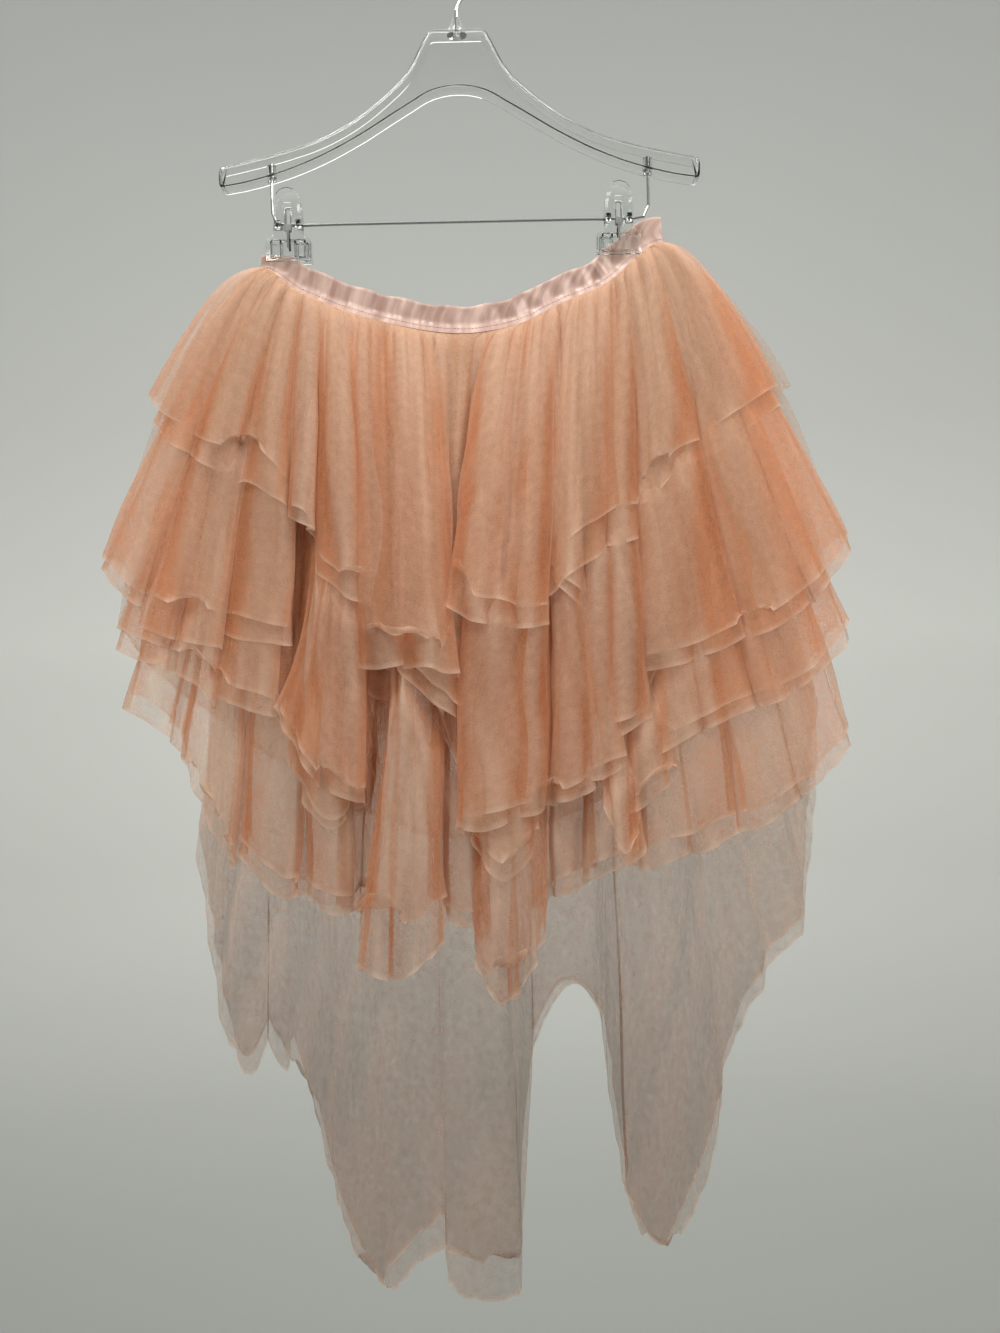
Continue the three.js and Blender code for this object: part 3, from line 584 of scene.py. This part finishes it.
def grid_object(name, points, flip, attributes, across):
    """A sheet as a mesh object, with a UV map in metres of cloth, across and down, and its marks."""
    columns, rows = points.shape[:2]
    index = np.arange(columns * rows).reshape(columns, rows)
    corners = [index[:-1, :-1], index[:-1, 1:], index[1:, 1:], index[1:, :-1]]
    faces = np.stack(corners[::-1] if flip else corners, axis=-1).reshape(-1, 4)
    mesh = bpy.data.meshes.new(name)
    mesh.vertices.add(columns * rows)
    mesh.vertices.foreach_set("co", (points * MM).astype(np.float32).ravel())
    mesh.loops.add(faces.size)
    mesh.loops.foreach_set("vertex_index", faces.ravel().astype(np.int32))
    mesh.polygons.add(len(faces))
    mesh.polygons.foreach_set("loop_start", np.arange(0, faces.size, 4, dtype=np.int32))
    mesh.update(calc_edges=True)
    mesh.shade_smooth()
    across = np.broadcast_to(across, (columns, rows))
    uv = np.stack([across * MM, lengths_along(points, 1) * MM], axis=-1).reshape(-1, 2)
    layer = mesh.uv_layers.new(name="cloth")
    layer.data.foreach_set("uv", uv[faces.ravel()].astype(np.float32).ravel())
    for key, values in attributes.items():
        made = mesh.attributes.new(key, "FLOAT", "POINT")
        made.data.foreach_set("value", np.broadcast_to(values, (columns, rows)).astype(np.float32).ravel())
    return put_in_scene(name, mesh)


# Materials

def new_material(name):
    """A material with an empty node tree."""
    material = bpy.data.materials.new(name)
    material.use_nodes = True
    material.node_tree.nodes.clear()
    return material, material.node_tree


def finish_material(material, tree, shader):
    """Joins the last shader to the material's surface."""
    add(tree, "OutputMaterial", Surface=shader.outputs[0])
    return material


def add(tree, kind, **inputs):
    """A shader node with its inputs set to numbers, or joined to other nodes' sockets."""
    node = tree.nodes.new("ShaderNode" + kind)
    for key, value in inputs.items():
        socket = node.inputs[int(key[1:]) if key[0] == "_" else key.replace("_", " ")]
        if isinstance(value, bpy.types.NodeSocket):
            tree.links.new(value, socket)
        else:
            socket.default_value = value
    return node


def math_node(tree, operation, a, b=0.0, clamp=False):
    """The result of a sum of two numbers or sockets."""
    node = add(tree, "Math", _0=a, _1=b)
    node.operation = operation
    node.use_clamp = clamp
    return node.outputs[0]


def attribute(tree, name):
    """One of the marks that a sheet carries at its points."""
    node = tree.nodes.new("ShaderNodeAttribute")
    node.attribute_name = name
    return node.outputs["Fac"]


def cloth_place(tree):
    """The place on the cloth, across and down, in metres."""
    node = tree.nodes.new("ShaderNodeUVMap")
    node.uv_map = "cloth"
    return node.outputs[0]


def piece_place(tree):
    """The place on the piece, in metres."""
    return tree.nodes.new("ShaderNodeTexCoord").outputs["Object"]


def mix_colour(tree, share, first, second):
    """A colour between two, each a fixed one or another node's."""
    node = tree.nodes.new("ShaderNodeMix")
    node.data_type = "RGBA"
    tree.links.new(share, node.inputs[0])
    for key, colour in (("A", first), ("B", second)):
        if isinstance(colour, bpy.types.NodeSocket):
            tree.links.new(colour, node.inputs[key])
        else:
            node.inputs[key].default_value = colour
    return node.outputs["Result"]


def in_shadow(tree, shader, shade):
    """The shader as it is seen, and a plain clear one for the light that passes through it."""
    passing = tree.nodes.new("ShaderNodeLightPath").outputs["Is Shadow Ray"]
    return add(tree, "MixShader", Fac=passing, _1=shader.outputs[0], _2=shade.outputs[0])


def tulle_material(name, cover, colour, crease):
    """Sheer net: a share of it stops light, more at its cut edge and along its creases. Its colour carries
    painted light: painted shade, darker low down and deep and red where it lies behind other cloth or in a
    valley, and a painted highlight, pale at its cut edge and creases.
    """
    material, tree = new_material(name)
    place = cloth_place(tree)
    mottle = add(tree, "TexNoise", Vector=place, Scale=NET["mottle"], Detail=1.0, Roughness=0.6)
    grain = add(tree, "TexNoise", Vector=place, Scale=NET["grain"], Detail=0.0)
    for noise in (mottle, grain):
        noise.noise_dimensions = "2D"
    soft = math_node(tree, "MULTIPLY", mottle.outputs[0], 0.6)
    rough = math_node(tree, "ADD", soft, math_node(tree, "MULTIPLY", grain.outputs[0], 0.5))
    density = math_node(tree, "MULTIPLY", math_node(tree, "ADD", rough, 0.45), cover)
    edge = math_node(tree, "MULTIPLY", attribute(tree, "edge"), NET["edge"])
    bend = math_node(tree, "MULTIPLY", attribute(tree, "bend"), crease)
    edge_density_and_highlight = math_node(tree, "ADD", edge, bend)
    share = math_node(tree, "ADD", density, edge_density_and_highlight, clamp=True)
    # Painted shade: low down, the lowest tier and the train turn to their darker colour
    own = mix_colour(tree, attribute(tree, "fall"), (*TULLE_COLOUR, 1), (*colour, 1))
    # Painted shade: deep and red where the tulle lies behind other cloth or in a valley
    deep_painted_shade = mix_colour(tree, attribute(tree, "shade"), own, PAINTED_SHADE_COLOUR)
    # Painted highlight: pale at the cut edge and along creases
    tint = mix_colour(tree, math_node(tree, "MULTIPLY", edge_density_and_highlight, 2.5, clamp=True), deep_painted_shade, PAINTED_HIGHLIGHT_COLOUR)
    front = add(tree, "BsdfDiffuse", Color=tint)
    through_it = add(tree, "BsdfTranslucent", Color=tint)
    cloth = add(tree, "MixShader", Fac=NET["through"], _1=front.outputs[0], _2=through_it.outputs[0])
    clear = add(tree, "BsdfTransparent")
    mixed = add(tree, "MixShader", Fac=share, _1=clear.outputs[0], _2=cloth.outputs[0])
    sifted = 1 - cover - NET["dimmed"]
    shade = add(tree, "BsdfTransparent", Color=(sifted, sifted, sifted, 1))
    return finish_material(material, tree, in_shadow(tree, mixed, shade))


def satin_material():
    """Pink satin elastic: fine cross cords and a long shine across them, with painted sheen and painted shade
    in broad patches of its colour.
    """
    material, tree = new_material("band_satin")
    stretch = add(tree, "Mapping", Vector=cloth_place(tree), Scale=SATIN["stretch"])
    cords = add(tree, "TexNoise", Vector=stretch.outputs[0], Scale=SATIN["cords"], Detail=2.0)
    sheen_patches = add(tree, "TexNoise", Vector=stretch.outputs[0], Scale=SATIN["sheen_patches"], Detail=3.0)
    # Painted sheen and painted shade: broad patches between a dark and a light colour
    tint = add(tree, "ValToRGB", Fac=sheen_patches.outputs[0])
    dark, light = tint.color_ramp.elements
    dark.position, light.position = 0.36, 0.66
    dark.color, light.color = SATIN["dark"], SATIN["light"]
    bump = add(tree, "Bump", Strength=0.35, Distance=0.0004, Height=cords.outputs[0])
    gloss = math_node(tree, "ADD", math_node(tree, "MULTIPLY", cords.outputs[0], 0.25), 0.22)
    shader = add(
        tree, "BsdfPrincipled", Base_Color=tint.outputs[0], Roughness=gloss, Normal=bump.outputs[0],
        Sheen_Weight=0.25, Sheen_Roughness=0.4, Specular_IOR_Level=0.6,
    )
    return finish_material(material, tree, shader)


def thread_material(name, colour):
    """Spun thread: fine ply marks and a soft shine."""
    material, tree = new_material(name)
    ply = add(tree, "TexNoise", Vector=piece_place(tree), Scale=2600, Detail=1.0)
    tint = add(tree, "ValToRGB", Fac=ply.outputs[0])
    tint.color_ramp.elements[0].color = (*(0.8 * c for c in colour), 1)
    tint.color_ramp.elements[1].color = (*colour, 1)
    bump = add(tree, "Bump", Strength=0.3, Distance=0.0002, Height=ply.outputs[0])
    shader = add(tree, "BsdfPrincipled", Base_Color=tint.outputs[0], Roughness=0.55, Normal=bump.outputs[0])
    return finish_material(material, tree, shader)


def steel_material():
    """Bright drawn steel with faint lengthwise streaks."""
    material, tree = new_material("bright_steel")
    streaks = add(tree, "TexNoise", Vector=piece_place(tree), Scale=600, Detail=3.0)
    rough = math_node(tree, "ADD", math_node(tree, "MULTIPLY", streaks.outputs[0], 0.18), 0.14)
    shader = add(tree, "BsdfPrincipled", Base_Color=(0.62, 0.62, 0.61, 1), Metallic=1.0, Roughness=rough)
    return finish_material(material, tree, shader)


def clear_material():
    """Clear moulded plastic, polished, with a faint ripple from the mould."""
    material, tree = new_material("clear_plastic")
    ripple = add(tree, "TexNoise", Vector=piece_place(tree), Scale=45, Detail=1.0)
    bump = add(tree, "Bump", Strength=0.06, Distance=0.002, Height=ripple.outputs[0])
    glass = add(
        tree, "BsdfPrincipled", Base_Color=(0.96, 0.975, 0.965, 1), Roughness=0.05, IOR=1.46,
        Transmission_Weight=1.0, Normal=bump.outputs[0],
    )
    clear = add(tree, "BsdfTransparent", Color=(0.93, 0.94, 0.93, 1))
    return finish_material(material, tree, in_shadow(tree, glass, clear))


def wall_material():
    """Matt paint, with painted shade: a little darker low down and high up."""
    material, tree = new_material("pale_wall")
    apart = add(tree, "SeparateXYZ", Vector=piece_place(tree))
    height = add(tree, "MapRange", Value=apart.outputs["Z"], From_Min=-2.1, From_Max=2.4)
    # Painted shade by height
    shade_by_height = add(tree, "ValToRGB", Fac=height.outputs[0])
    shade_by_height.color_ramp.elements[0].color = WALL_SHADE_TONES[0]
    shade_by_height.color_ramp.elements[1].color = WALL_SHADE_TONES[1]
    shade_by_height.color_ramp.elements.new(0.35).color = WALL_SHADE_TONES[0.35]
    return finish_material(material, tree, add(tree, "BsdfDiffuse", Color=shade_by_height.outputs[0]))


# The stage, the light and the camera

def lathe(name, outline, segments):
    """A surface turned round the upright axis from a line of (radius, height)."""
    angles = np.linspace(0, 2 * math.pi, segments, endpoint=False)
    ring = np.stack([np.cos(angles), np.sin(angles)], axis=-1)
    points = [(r * c, r * s, z) for r, z in outline for c, s in ring]
    faces = [
        (i * segments + j, i * segments + (j + 1) % segments,
         (i + 1) * segments + (j + 1) % segments, (i + 1) * segments + j)
        for i in range(len(outline) - 1) for j in range(segments)
    ]
    mesh = bpy.data.meshes.new(name)
    mesh.from_pydata(points, [], faces)
    mesh.shade_smooth()
    return put_in_scene(name, mesh)


def build_stage():
    """A pale floor that rises into the wall all round."""
    bowl = lathe("pale_floor", BOWL, 64)
    bowl.data.materials.append(wall_material())


def hang_light(name, kind, strength, direction):
    """A lamp that shines in a direction, and its data."""
    data = bpy.data.lights.new(name, kind)
    data.energy = strength
    data.color = LAMP_COLOUR
    lamp = put_in_scene(name, data)
    lamp.rotation_mode = "QUATERNION"
    lamp.rotation_quaternion = Vector(direction).to_track_quat("-Z", "Y")
    return lamp, data


def build_light():
    """Soft light from both sides and from behind, a lamp in front and the room's own light."""
    for name, (direction, strength, softness) in SUNS.items():
        hang_light(name, "SUN", strength, direction)[1].angle = math.radians(softness)
    aim = Vector(LAMP["target"]) - Vector(LAMP["place"])
    lamp, data = hang_light("light_near", "AREA", LAMP["watts"], aim)
    lamp.location = LAMP["place"]
    data.size = LAMP["size"]
    world = bpy.data.worlds.new("room")
    world.use_nodes = True
    world.node_tree.nodes["Background"].inputs[0].default_value = ROOM["colour"]
    world.node_tree.nodes["Background"].inputs[1].default_value = ROOM["strength"]
    bpy.context.scene.world = world


def place_camera():
    """The camera at the photograph's height, distance and tilt."""
    data = bpy.data.cameras.new("camera")
    data.lens = CAMERA["lens"]
    data.sensor_width = CAMERA["sensor"]
    camera = put_in_scene("camera", data)
    camera.location = (CAMERA["x"] * MM, -CAMERA["away"] * MM, CAMERA["z"] * MM)
    level = Matrix.Rotation(math.radians(90), 4, "X")
    roll = Matrix.Rotation(math.radians(CAMERA["roll"]), 4, "Z")
    camera.rotation_euler = (level @ roll).to_euler()
    bpy.context.scene.camera = camera


# The pieces

def hang_sheet(name, made, front, curls, material, back, node):
    """A sheet of tulle as a finished piece that stands for its solid."""
    points, drop, to_hem, rng = made
    # Painted shade, by how far the sheet lies behind the outermost cloth and down in the valleys between
    # folds
    shade = hidden_depth(points, front)
    across = lengths_along(points[:, -1:], 0)
    points = turn_up(points, to_hem, curls)
    points = soften(points, drop, to_hem, rng, **(LIMP_WAVES if node == "train_back" else CRISP_WAVES))
    shade = np.maximum(shade, VALLEY["back" if back else "front"] * valley_depth(points))
    # Painted shade that darkens the lowest tier and the train further down
    fall = ease((drop - SHADE_FALL["from"]) / SHADE_FALL["run"])
    # Where the net is denser and a painted highlight makes it pale: at the cut edge and along creases
    edge = np.exp(-to_hem / NET["edge_run"])
    marks = {"edge": edge, "bend": curvature(points), "shade": shade, "fall": fall}
    piece = grid_object(name, points, back, marks, across)
    piece.data.materials.append(material)
    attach(piece, "root")
    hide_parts(node)


def dress_skirt():
    """Every sheet of the skirt. All are laid out first, as a sheet's shade depends on what is over it."""
    sheets = []
    for tier, layer in LAYERS.items():
        back = layer["half"] == "back"
        node = "train_back" if tier == "train" else f"{tier}_front"
        for under in (False, True):
            name = f"{tier}_{'under' if under else 'over'}"
            sheets.append((name, tier, back, node, fluted_sheet(tier, under)))
        if tier in BACK_HEMS:
            sheets.append((f"{tier}_behind", tier, True, f"{tier}_back", folded_sheet(tier)))
    fronts = {
        half: front_map([made[0] for _, _, back, _, made in sheets if back == half])
        for half in (False, True)
    }
    materials = {
        tier: tulle_material(f"{tier}_tulle", layer["cover"], layer["colour"], layer["crease"])
        for tier, layer in LAYERS.items()
    }
    for name, tier, back, node, made in sheets:
        curls = CURLS[tier] if name.endswith("over") else []
        hang_sheet(name, made, fronts[back], curls, materials[tier], back, node)


def band_section(steps=12):
    """Height and outward place of the band's wall, round its section from the lower edge."""
    half = BAND["wall"] / 2
    up = np.linspace(half, BAND["height"] - half, steps)
    outer = [(h, half) for h in up]
    inner = [(h, -half) for h in up[::-1]]
    return outer + [(BAND["height"], 0)] + inner + [(0, 0)]


def stitch_tree():
    """Geometry nodes: stitches laid along a line, with named sizes."""
    tree = bpy.data.node_groups.new("stitches_along", "GeometryNodeTree")
    sizes = [(size, "INPUT", "Float") for size in ("Spacing", "Stitch length", "Thread width")]
    sockets = [("Line", "INPUT", "Geometry"), *sizes, ("Thread", "INPUT", "Material")]
    for name, way, kind in sockets + [("Stitches", "OUTPUT", "Geometry")]:
        tree.interface.new_socket(name, in_out=way, socket_type="NodeSocket" + kind)
    kinds = {
        "given": "NodeGroupInput", "line": "GeometryNodeMeshToCurve", "places": "GeometryNodeCurveToPoints",
        "stitch": "GeometryNodeMeshUVSphere", "uneven": "FunctionNodeRandomValue", "long": "ShaderNodeMath",
        "size": "ShaderNodeCombineXYZ", "laid": "GeometryNodeInstanceOnPoints",
        "real": "GeometryNodeRealizeInstances", "coloured": "GeometryNodeSetMaterial",
        "done": "NodeGroupOutput",
    }
    nodes = {name: tree.nodes.new(kind) for name, kind in kinds.items()}
    nodes["places"].mode = "LENGTH"
    nodes["uneven"].data_type = "FLOAT"
    nodes["long"].operation = "MULTIPLY"
    values = (
        ("stitch", "Segments", 8), ("stitch", "Rings", 5), ("stitch", "Radius", 0.5),
        ("uneven", 2, 0.85), ("uneven", 3, 1.1), ("uneven", "Seed", SEED),
    )
    for name, socket, value in values:
        nodes[name].inputs[socket].default_value = value
    links = (
        ("given", "Line", "line", "Mesh"), ("line", "Curve", "places", "Curve"),
        ("given", "Spacing", "places", "Length"), ("given", "Stitch length", "long", 0),
        ("uneven", 1, "long", 1), ("long", 0, "size", 2),
        ("given", "Thread width", "size", 0), ("given", "Thread width", "size", 1),
        ("places", "Points", "laid", "Points"), ("stitch", "Mesh", "laid", "Instance"),
        ("places", "Rotation", "laid", "Rotation"), ("size", 0, "laid", "Scale"),
        ("laid", "Instances", "real", "Geometry"), ("real", "Geometry", "coloured", "Geometry"),
        ("given", "Thread", "coloured", "Material"), ("coloured", "Geometry", "done", 0),
    )
    for source, out, target, into in links:
        tree.links.new(nodes[source].outputs[out], nodes[target].inputs[into])
    return tree


def sew(name, line, tree, sizes, thread):
    """Stitches along a closed line of points in metres, as a plain mesh on the band."""
    mesh = bpy.data.meshes.new(name)
    count = len(line)
    mesh.from_pydata([tuple(p) for p in line], [(i, (i + 1) % count) for i in range(count)], [])
    thing = put_in_scene(name, mesh)
    maker = thing.modifiers.new("stitches", "NODES")
    maker.node_group = tree
    values = {**sizes, "Thread": thread}
    for socket in tree.interface.items_tree:
        if socket.in_out == "INPUT" and socket.name in values:
            maker[socket.identifier] = values[socket.name]
    evaluated = thing.evaluated_get(bpy.context.evaluated_depsgraph_get())
    made = bpy.data.meshes.new_from_object(evaluated)
    thing.modifiers.clear()
    thing.data = made
    made.shade_smooth()
    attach(thing, "root")


def sew_band(points, section):
    """The topstitching near the band's lower edge and the gathering thread under it."""
    tree = stitch_tree()
    outward = np.sign(points[:-1, :1, 1]) * (0, 1, 0)
    outer = [j for j, (_, out) in enumerate(section) if out > 0]
    row = min(outer, key=lambda j: abs(section[j][0] - SEAM_LINE["up"]))
    seam = (points[:-1, row] + outward * SEAM_LINE["proud"]) * MM
    sew("band_topstitch", seam, tree, STITCH["top"], thread_material("pink_thread", PINK_THREAD))
    gathered = (points[:-1, 0] + outward * SEAM_LINE["gather_proud"] - (0, 0, SEAM_LINE["gather_down"])) * MM
    sew("gathering_thread", gathered, tree, STITCH["gather"], thread_material("peach_thread", PEACH_THREAD))


def build_band(satin):
    """The satin elastic, one closed loop with soft puckers between its edges."""
    rng = np.random.default_rng(SEED)
    stations = BAND["stations"]
    angle = np.linspace(0, 2 * math.pi, stations, endpoint=False)
    s = (1 - np.cos(angle)) / 2
    sign = np.where(np.sin(angle) >= 0, -1, 1)
    x = WAIST_LEFT + s * (WAIST_RIGHT - WAIST_LEFT)
    ahead, behind = np.minimum(x + 3, WAIST_RIGHT), np.maximum(x - 3, WAIST_LEFT)
    slope = np.arctan2(waist_z(ahead) - waist_z(behind), ahead - behind)
    round_end = np.sqrt(np.maximum(1 - (2 * s - 1) ** 4, 0))
    low_stack = STACK_IN + (TIERS - 1) * STACK - 0.5
    section = band_section()
    shown = np.interp(s, *BAND_SHOWN)
    run = np.cumsum(np.hypot(np.diff(x, append=x[0]), 0.01))
    broad, fine = BAND["pucker"]
    pucker = broad * uneven_waves(rng, run, 24, 0.5, 0.6) + fine * uneven_waves(rng, run, 9, 0.6)
    ripple = BAND["ripple"] * uneven_waves(rng, run, 33, 0.5)
    points = np.zeros((stations + 1, len(section) + 1, 3))
    for j, (height, out) in enumerate(section):
        lower = np.maximum(1 - height / BAND["flare"], 0)
        stack = 1.4 + (low_stack - 1.4) * lower + bow(s)
        swell = pucker * math.sin(math.pi * np.clip(height / BAND["height"], 0, 1))
        height = height * (shown + ripple * height / BAND["height"])
        points[:-1, j, 0] = x - np.sin(slope) * height
        points[:-1, j, 1] = sign * (round_end * stack + out + swell * round_end)
        points[:-1, j, 2] = waist_z(x) + np.cos(slope) * height
    points[-1] = points[0]
    points[:, -1] = points[:, 0]
    band = grid_object("satin_waistband", points, False, {}, lengths_along(points, 0))
    band.data.materials.append(satin)
    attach(band, "root")
    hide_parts("waistband")
    sew_band(points, section)


def hanger_outline():
    """The clear body's outline as the front shows it, one smooth loop with rounded corners."""
    upper = [(x, top) for x, top, _ in ARM[1:]]
    lower = [(0, NECK_LOW), *NECK_ARCH] + [(x, low) for x, _, low in ARM[2:]]
    lower = [(-x, z) for x, z in lower[:0:-1]] + lower
    top = through(np.array(NECK_CORNER + tuple(upper), dtype=float), 90, pull=(1, 1))
    end = through(np.array(ARM_TIP, dtype=float), 16, pull=(1, 1))
    bottom = through(np.array(lower, dtype=float), 201, pull=(1, 1))
    half = np.concatenate([top, end, bottom[:99:-1]])
    other = half[-2::-1] * (-1, 1)
    return np.concatenate([half, other])


def inset(outline, by):
    """A closed outline moved inwards."""
    along_it = np.roll(outline, -1, axis=0) - np.roll(outline, 1, axis=0)
    inward = np.stack([along_it[:, 1], -along_it[:, 0]], axis=-1)
    inward /= np.linalg.norm(inward, axis=-1)[:, None]
    return outline + inward * by


def shell_rings():
    """The wall's section, how far in and how far back, from the outer rim round to the inner one."""
    face, corner = -HANGER["depth"] / 2, HANGER["corner"]
    rings = [(0.7, -face), (0, -face - 0.7)]
    for angle in np.linspace(0, math.pi / 2, 7):
        rings.append((corner * (1 - math.cos(angle)), face + corner * (1 - math.sin(angle))))
    wall, small = HANGER["wall"], corner - HANGER["wall"]
    for angle in np.linspace(math.pi / 2, 0, 4):
        turn, deep = 1 - math.cos(angle), 1 - math.sin(angle)
        rings.append((wall + small * turn, face + wall + small * deep))
    return rings + [(wall, -face - 0.7), (wall - 0.7, -face)], 8


def mesh_piece(name, bm):
    """A bmesh in millimetres as an object with soft corners."""
    bmesh.ops.remove_doubles(bm, verts=bm.verts, dist=0.01)
    bmesh.ops.recalc_face_normals(bm, faces=bm.faces)
    bmesh.ops.scale(bm, vec=(MM, MM, MM), verts=bm.verts)
    mesh = bpy.data.meshes.new(name)
    bm.to_mesh(mesh)
    bm.free()
    mesh.shade_smooth()
    mesh.set_sharp_from_angle(angle=math.radians(38))
    return put_in_scene(name, mesh)


def clear_body():
    """The hanger's moulded body: a shell open at the back, with a rounded front corner."""
    outline = hanger_outline()
    rings, face_ring = shell_rings()
    bm = bmesh.new()
    loops = []
    for by, back in rings:
        loops.append([bm.verts.new((x, back, z)) for x, z in inset(outline, by)])
    count = len(outline)
    for r, loop in enumerate(loops):
        after = loops[(r + 1) % len(loops)]
        if r == face_ring:
            bm.faces.new(loop)
            bm.faces.new(after[::-1])
            continue
        for i in range(count):
            bm.faces.new((loop[i], loop[(i + 1) % count], after[(i + 1) % count], after[i]))
    bmesh.ops.triangulate(bm, faces=[f for f in bm.faces if len(f.verts) > 4])
    return mesh_piece("clear_hanger", bm)


def turned(name, x, section, steps=28):
    """A ring turned round an upright line at x, from a closed section of radius and height."""
    bm = bmesh.new()
    turns = np.linspace(0, 2 * math.pi, steps, endpoint=False)
    loops = [[bm.verts.new((x + r * math.cos(a), r * math.sin(a), z)) for r, z in section] for a in turns]
    for i, loop in enumerate(loops):
        after = loops[(i + 1) % steps]
        for j in range(len(section)):
            k = (j + 1) % len(section)
            bm.faces.new((loop[j], loop[k], after[k], after[j]))
    return mesh_piece(name, bm)


def clip_half(frame, name):
    """A clip's half with its corners eased and ridges across its jaw."""
    bm = bmesh.new()
    bm.from_mesh(frame["nodes"][name].data)
    bmesh.ops.scale(bm, vec=(1 / MM, 1 / MM, 1 / MM), verts=bm.verts)
    bmesh.ops.remove_doubles(bm, verts=bm.verts, dist=0.02)
    bmesh.ops.dissolve_limit(bm, angle_limit=math.radians(2), verts=bm.verts, edges=bm.edges)
    corners = [e for e in bm.edges if len(e.link_faces) == 2 and e.calc_face_angle(0) > math.radians(25)]
    ease_edges(bm, corners, CLIP["eased"])
    bmesh.ops.triangulate(bm, faces=[f for f in bm.faces if len(f.verts) > 4])
    x = CLIP["left"] if "left" in name else CLIP["right"]
    face = -1 if "front" in name else 1
    for across, level, wide, high in CLIP["ribs"]:
        place = (x + across, face * CLIP["rib_out"], level)
        eased_block(bm, place, (wide, CLIP["rib_deep"], high), CLIP["eased"])
    for across in (-CLIP["barrel_at"], CLIP["barrel_at"]):
        place = (x + across, face * CLIP["barrel_out"], CLIP["rod_level"])
        eased_block(bm, place, CLIP["barrel"], CLIP["barrel_eased"])
    return mesh_piece(f"{name}_moulded", bm)


def ease_edges(bm, edges, by):
    """Rounds edges as a mould does."""
    bmesh.ops.bevel(
        bm, geom=edges, offset=by, offset_type="OFFSET", segments=3, profile=0.5, affect="EDGES",
        clamp_overlap=True,
    )


def eased_block(bm, centre, size, ease_by):
    """Adds a moulded block with eased edges."""
    place = Matrix.Translation(centre) @ Matrix.Diagonal((*size, 1))
    block = bmesh.ops.create_cube(bm, size=1, matrix=place)["verts"]
    ease_edges(bm, list({edge for vert in block for edge in vert.link_edges}), ease_by)


def ribbon(bm, x, width, levels, face):
    """Adds a strip of spring steel that follows the spring's side between levels."""
    loops = []
    half = width / 2
    for level in levels:
        y = np.interp(level, SPRING["levels"], SPRING["out"])
        inner = y - SPRING["wall"]
        corners = ((-half, y), (half, y), (half, inner), (-half, inner))
        z = CLIP["rod_level"] + level
        loops.append([bm.verts.new((x + across, face * out, z)) for across, out in corners])
    for a, b in zip(loops, loops[1:]):
        for i in range(4):
            k = (i + 1) % 4
            bm.faces.new((a[i], a[k], b[k], b[i]))
    bm.faces.new(loops[0])
    bm.faces.new(loops[-1][::-1])


def clip_spring(side):
    """The steel spring: on each face an open frame over the rod, a clasp at it and a tongue into the jaw."""
    x, half, rail, clasp = CLIP[side], SPRING["half"], SPRING["rail"], -SPRING["clasp"]
    low, top = SPRING["levels"][0], SPRING["levels"][-1]
    bm = bmesh.new()
    for face in (-1, 1):
        for at in (x - half + rail / 2, x + half - rail / 2):
            ribbon(bm, at, rail, (0, 6, 12, top - 0.4), face)
        ribbon(bm, x, 2 * half, (clasp, clasp / 2, 0), face)
        ribbon(bm, x, SPRING["tongue"], (low, -15, -9, clasp), face)
    bridge = 2 * SPRING["out"][-1]
    eased_block(bm, (x, 0, CLIP["rod_level"] + top - rail / 2), (2 * half, bridge, rail), 0.2)
    return mesh_piece(f"flat_spring_{side}", bm)


def stand_for(piece, node, material):
    """Gives a finished piece its material, its ride and the solid that it stands for."""
    piece.data.materials.clear()
    piece.data.materials.append(material)
    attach(piece, "root")
    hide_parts(node)


def finish_hanger(frame, clear, steel):
    """The clear body, the hook's boss, the rod's tubes and the clips. Hook and rod keep their solids."""
    stand_for(clear_body(), "hanger_body", clear)
    stand_for(turned("hook_boss", 0, BOSS), "hanger_body", clear)
    for side, x in (("left", -ROD["half"]), ("right", ROD["half"])):
        stand_for(turned(f"rod_tube_{side}", x, ROD["tube"]), "hanger_body", clear)
    for side in ("left", "right"):
        for face in ("front", "back"):
            node = f"clip_{side}_{face}"
            stand_for(clip_half(frame, node), node, clear)
        stand_for(clip_spring(side), f"spring_{side}", steel)
    for name in ("hook", "clip_rod"):
        frame["nodes"][name].data.materials.clear()
        frame["nodes"][name].data.materials.append(steel)


def set_up_scene():
    """Plain colours, and no more bounces of light than the tulle and the clear plastic need."""
    scene = bpy.context.scene
    scene.view_settings.view_transform = "Standard"
    scene.cycles.transparent_max_bounces = 9
    scene.cycles.max_bounces = 6
    scene.cycles.diffuse_bounces = 1
    scene.cycles.light_sampling_threshold = 0.1
    scene.cycles.caustics_reflective = False
    scene.cycles.caustics_refractive = False
    scene.cycles.glossy_bounces = 2
    scene.cycles.debug_use_spatial_splits = True


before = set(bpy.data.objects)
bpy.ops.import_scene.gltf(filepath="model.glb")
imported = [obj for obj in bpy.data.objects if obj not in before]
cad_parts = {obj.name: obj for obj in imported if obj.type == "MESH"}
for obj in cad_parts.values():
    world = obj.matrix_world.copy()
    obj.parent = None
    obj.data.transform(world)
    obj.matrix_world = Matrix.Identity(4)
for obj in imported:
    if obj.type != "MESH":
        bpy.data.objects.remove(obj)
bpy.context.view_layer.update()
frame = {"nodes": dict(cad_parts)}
set_up_scene()
place_camera()
build_stage()
build_light()
dress_skirt()
build_band(satin_material())
finish_hanger(frame, clear_material(), steel_material())
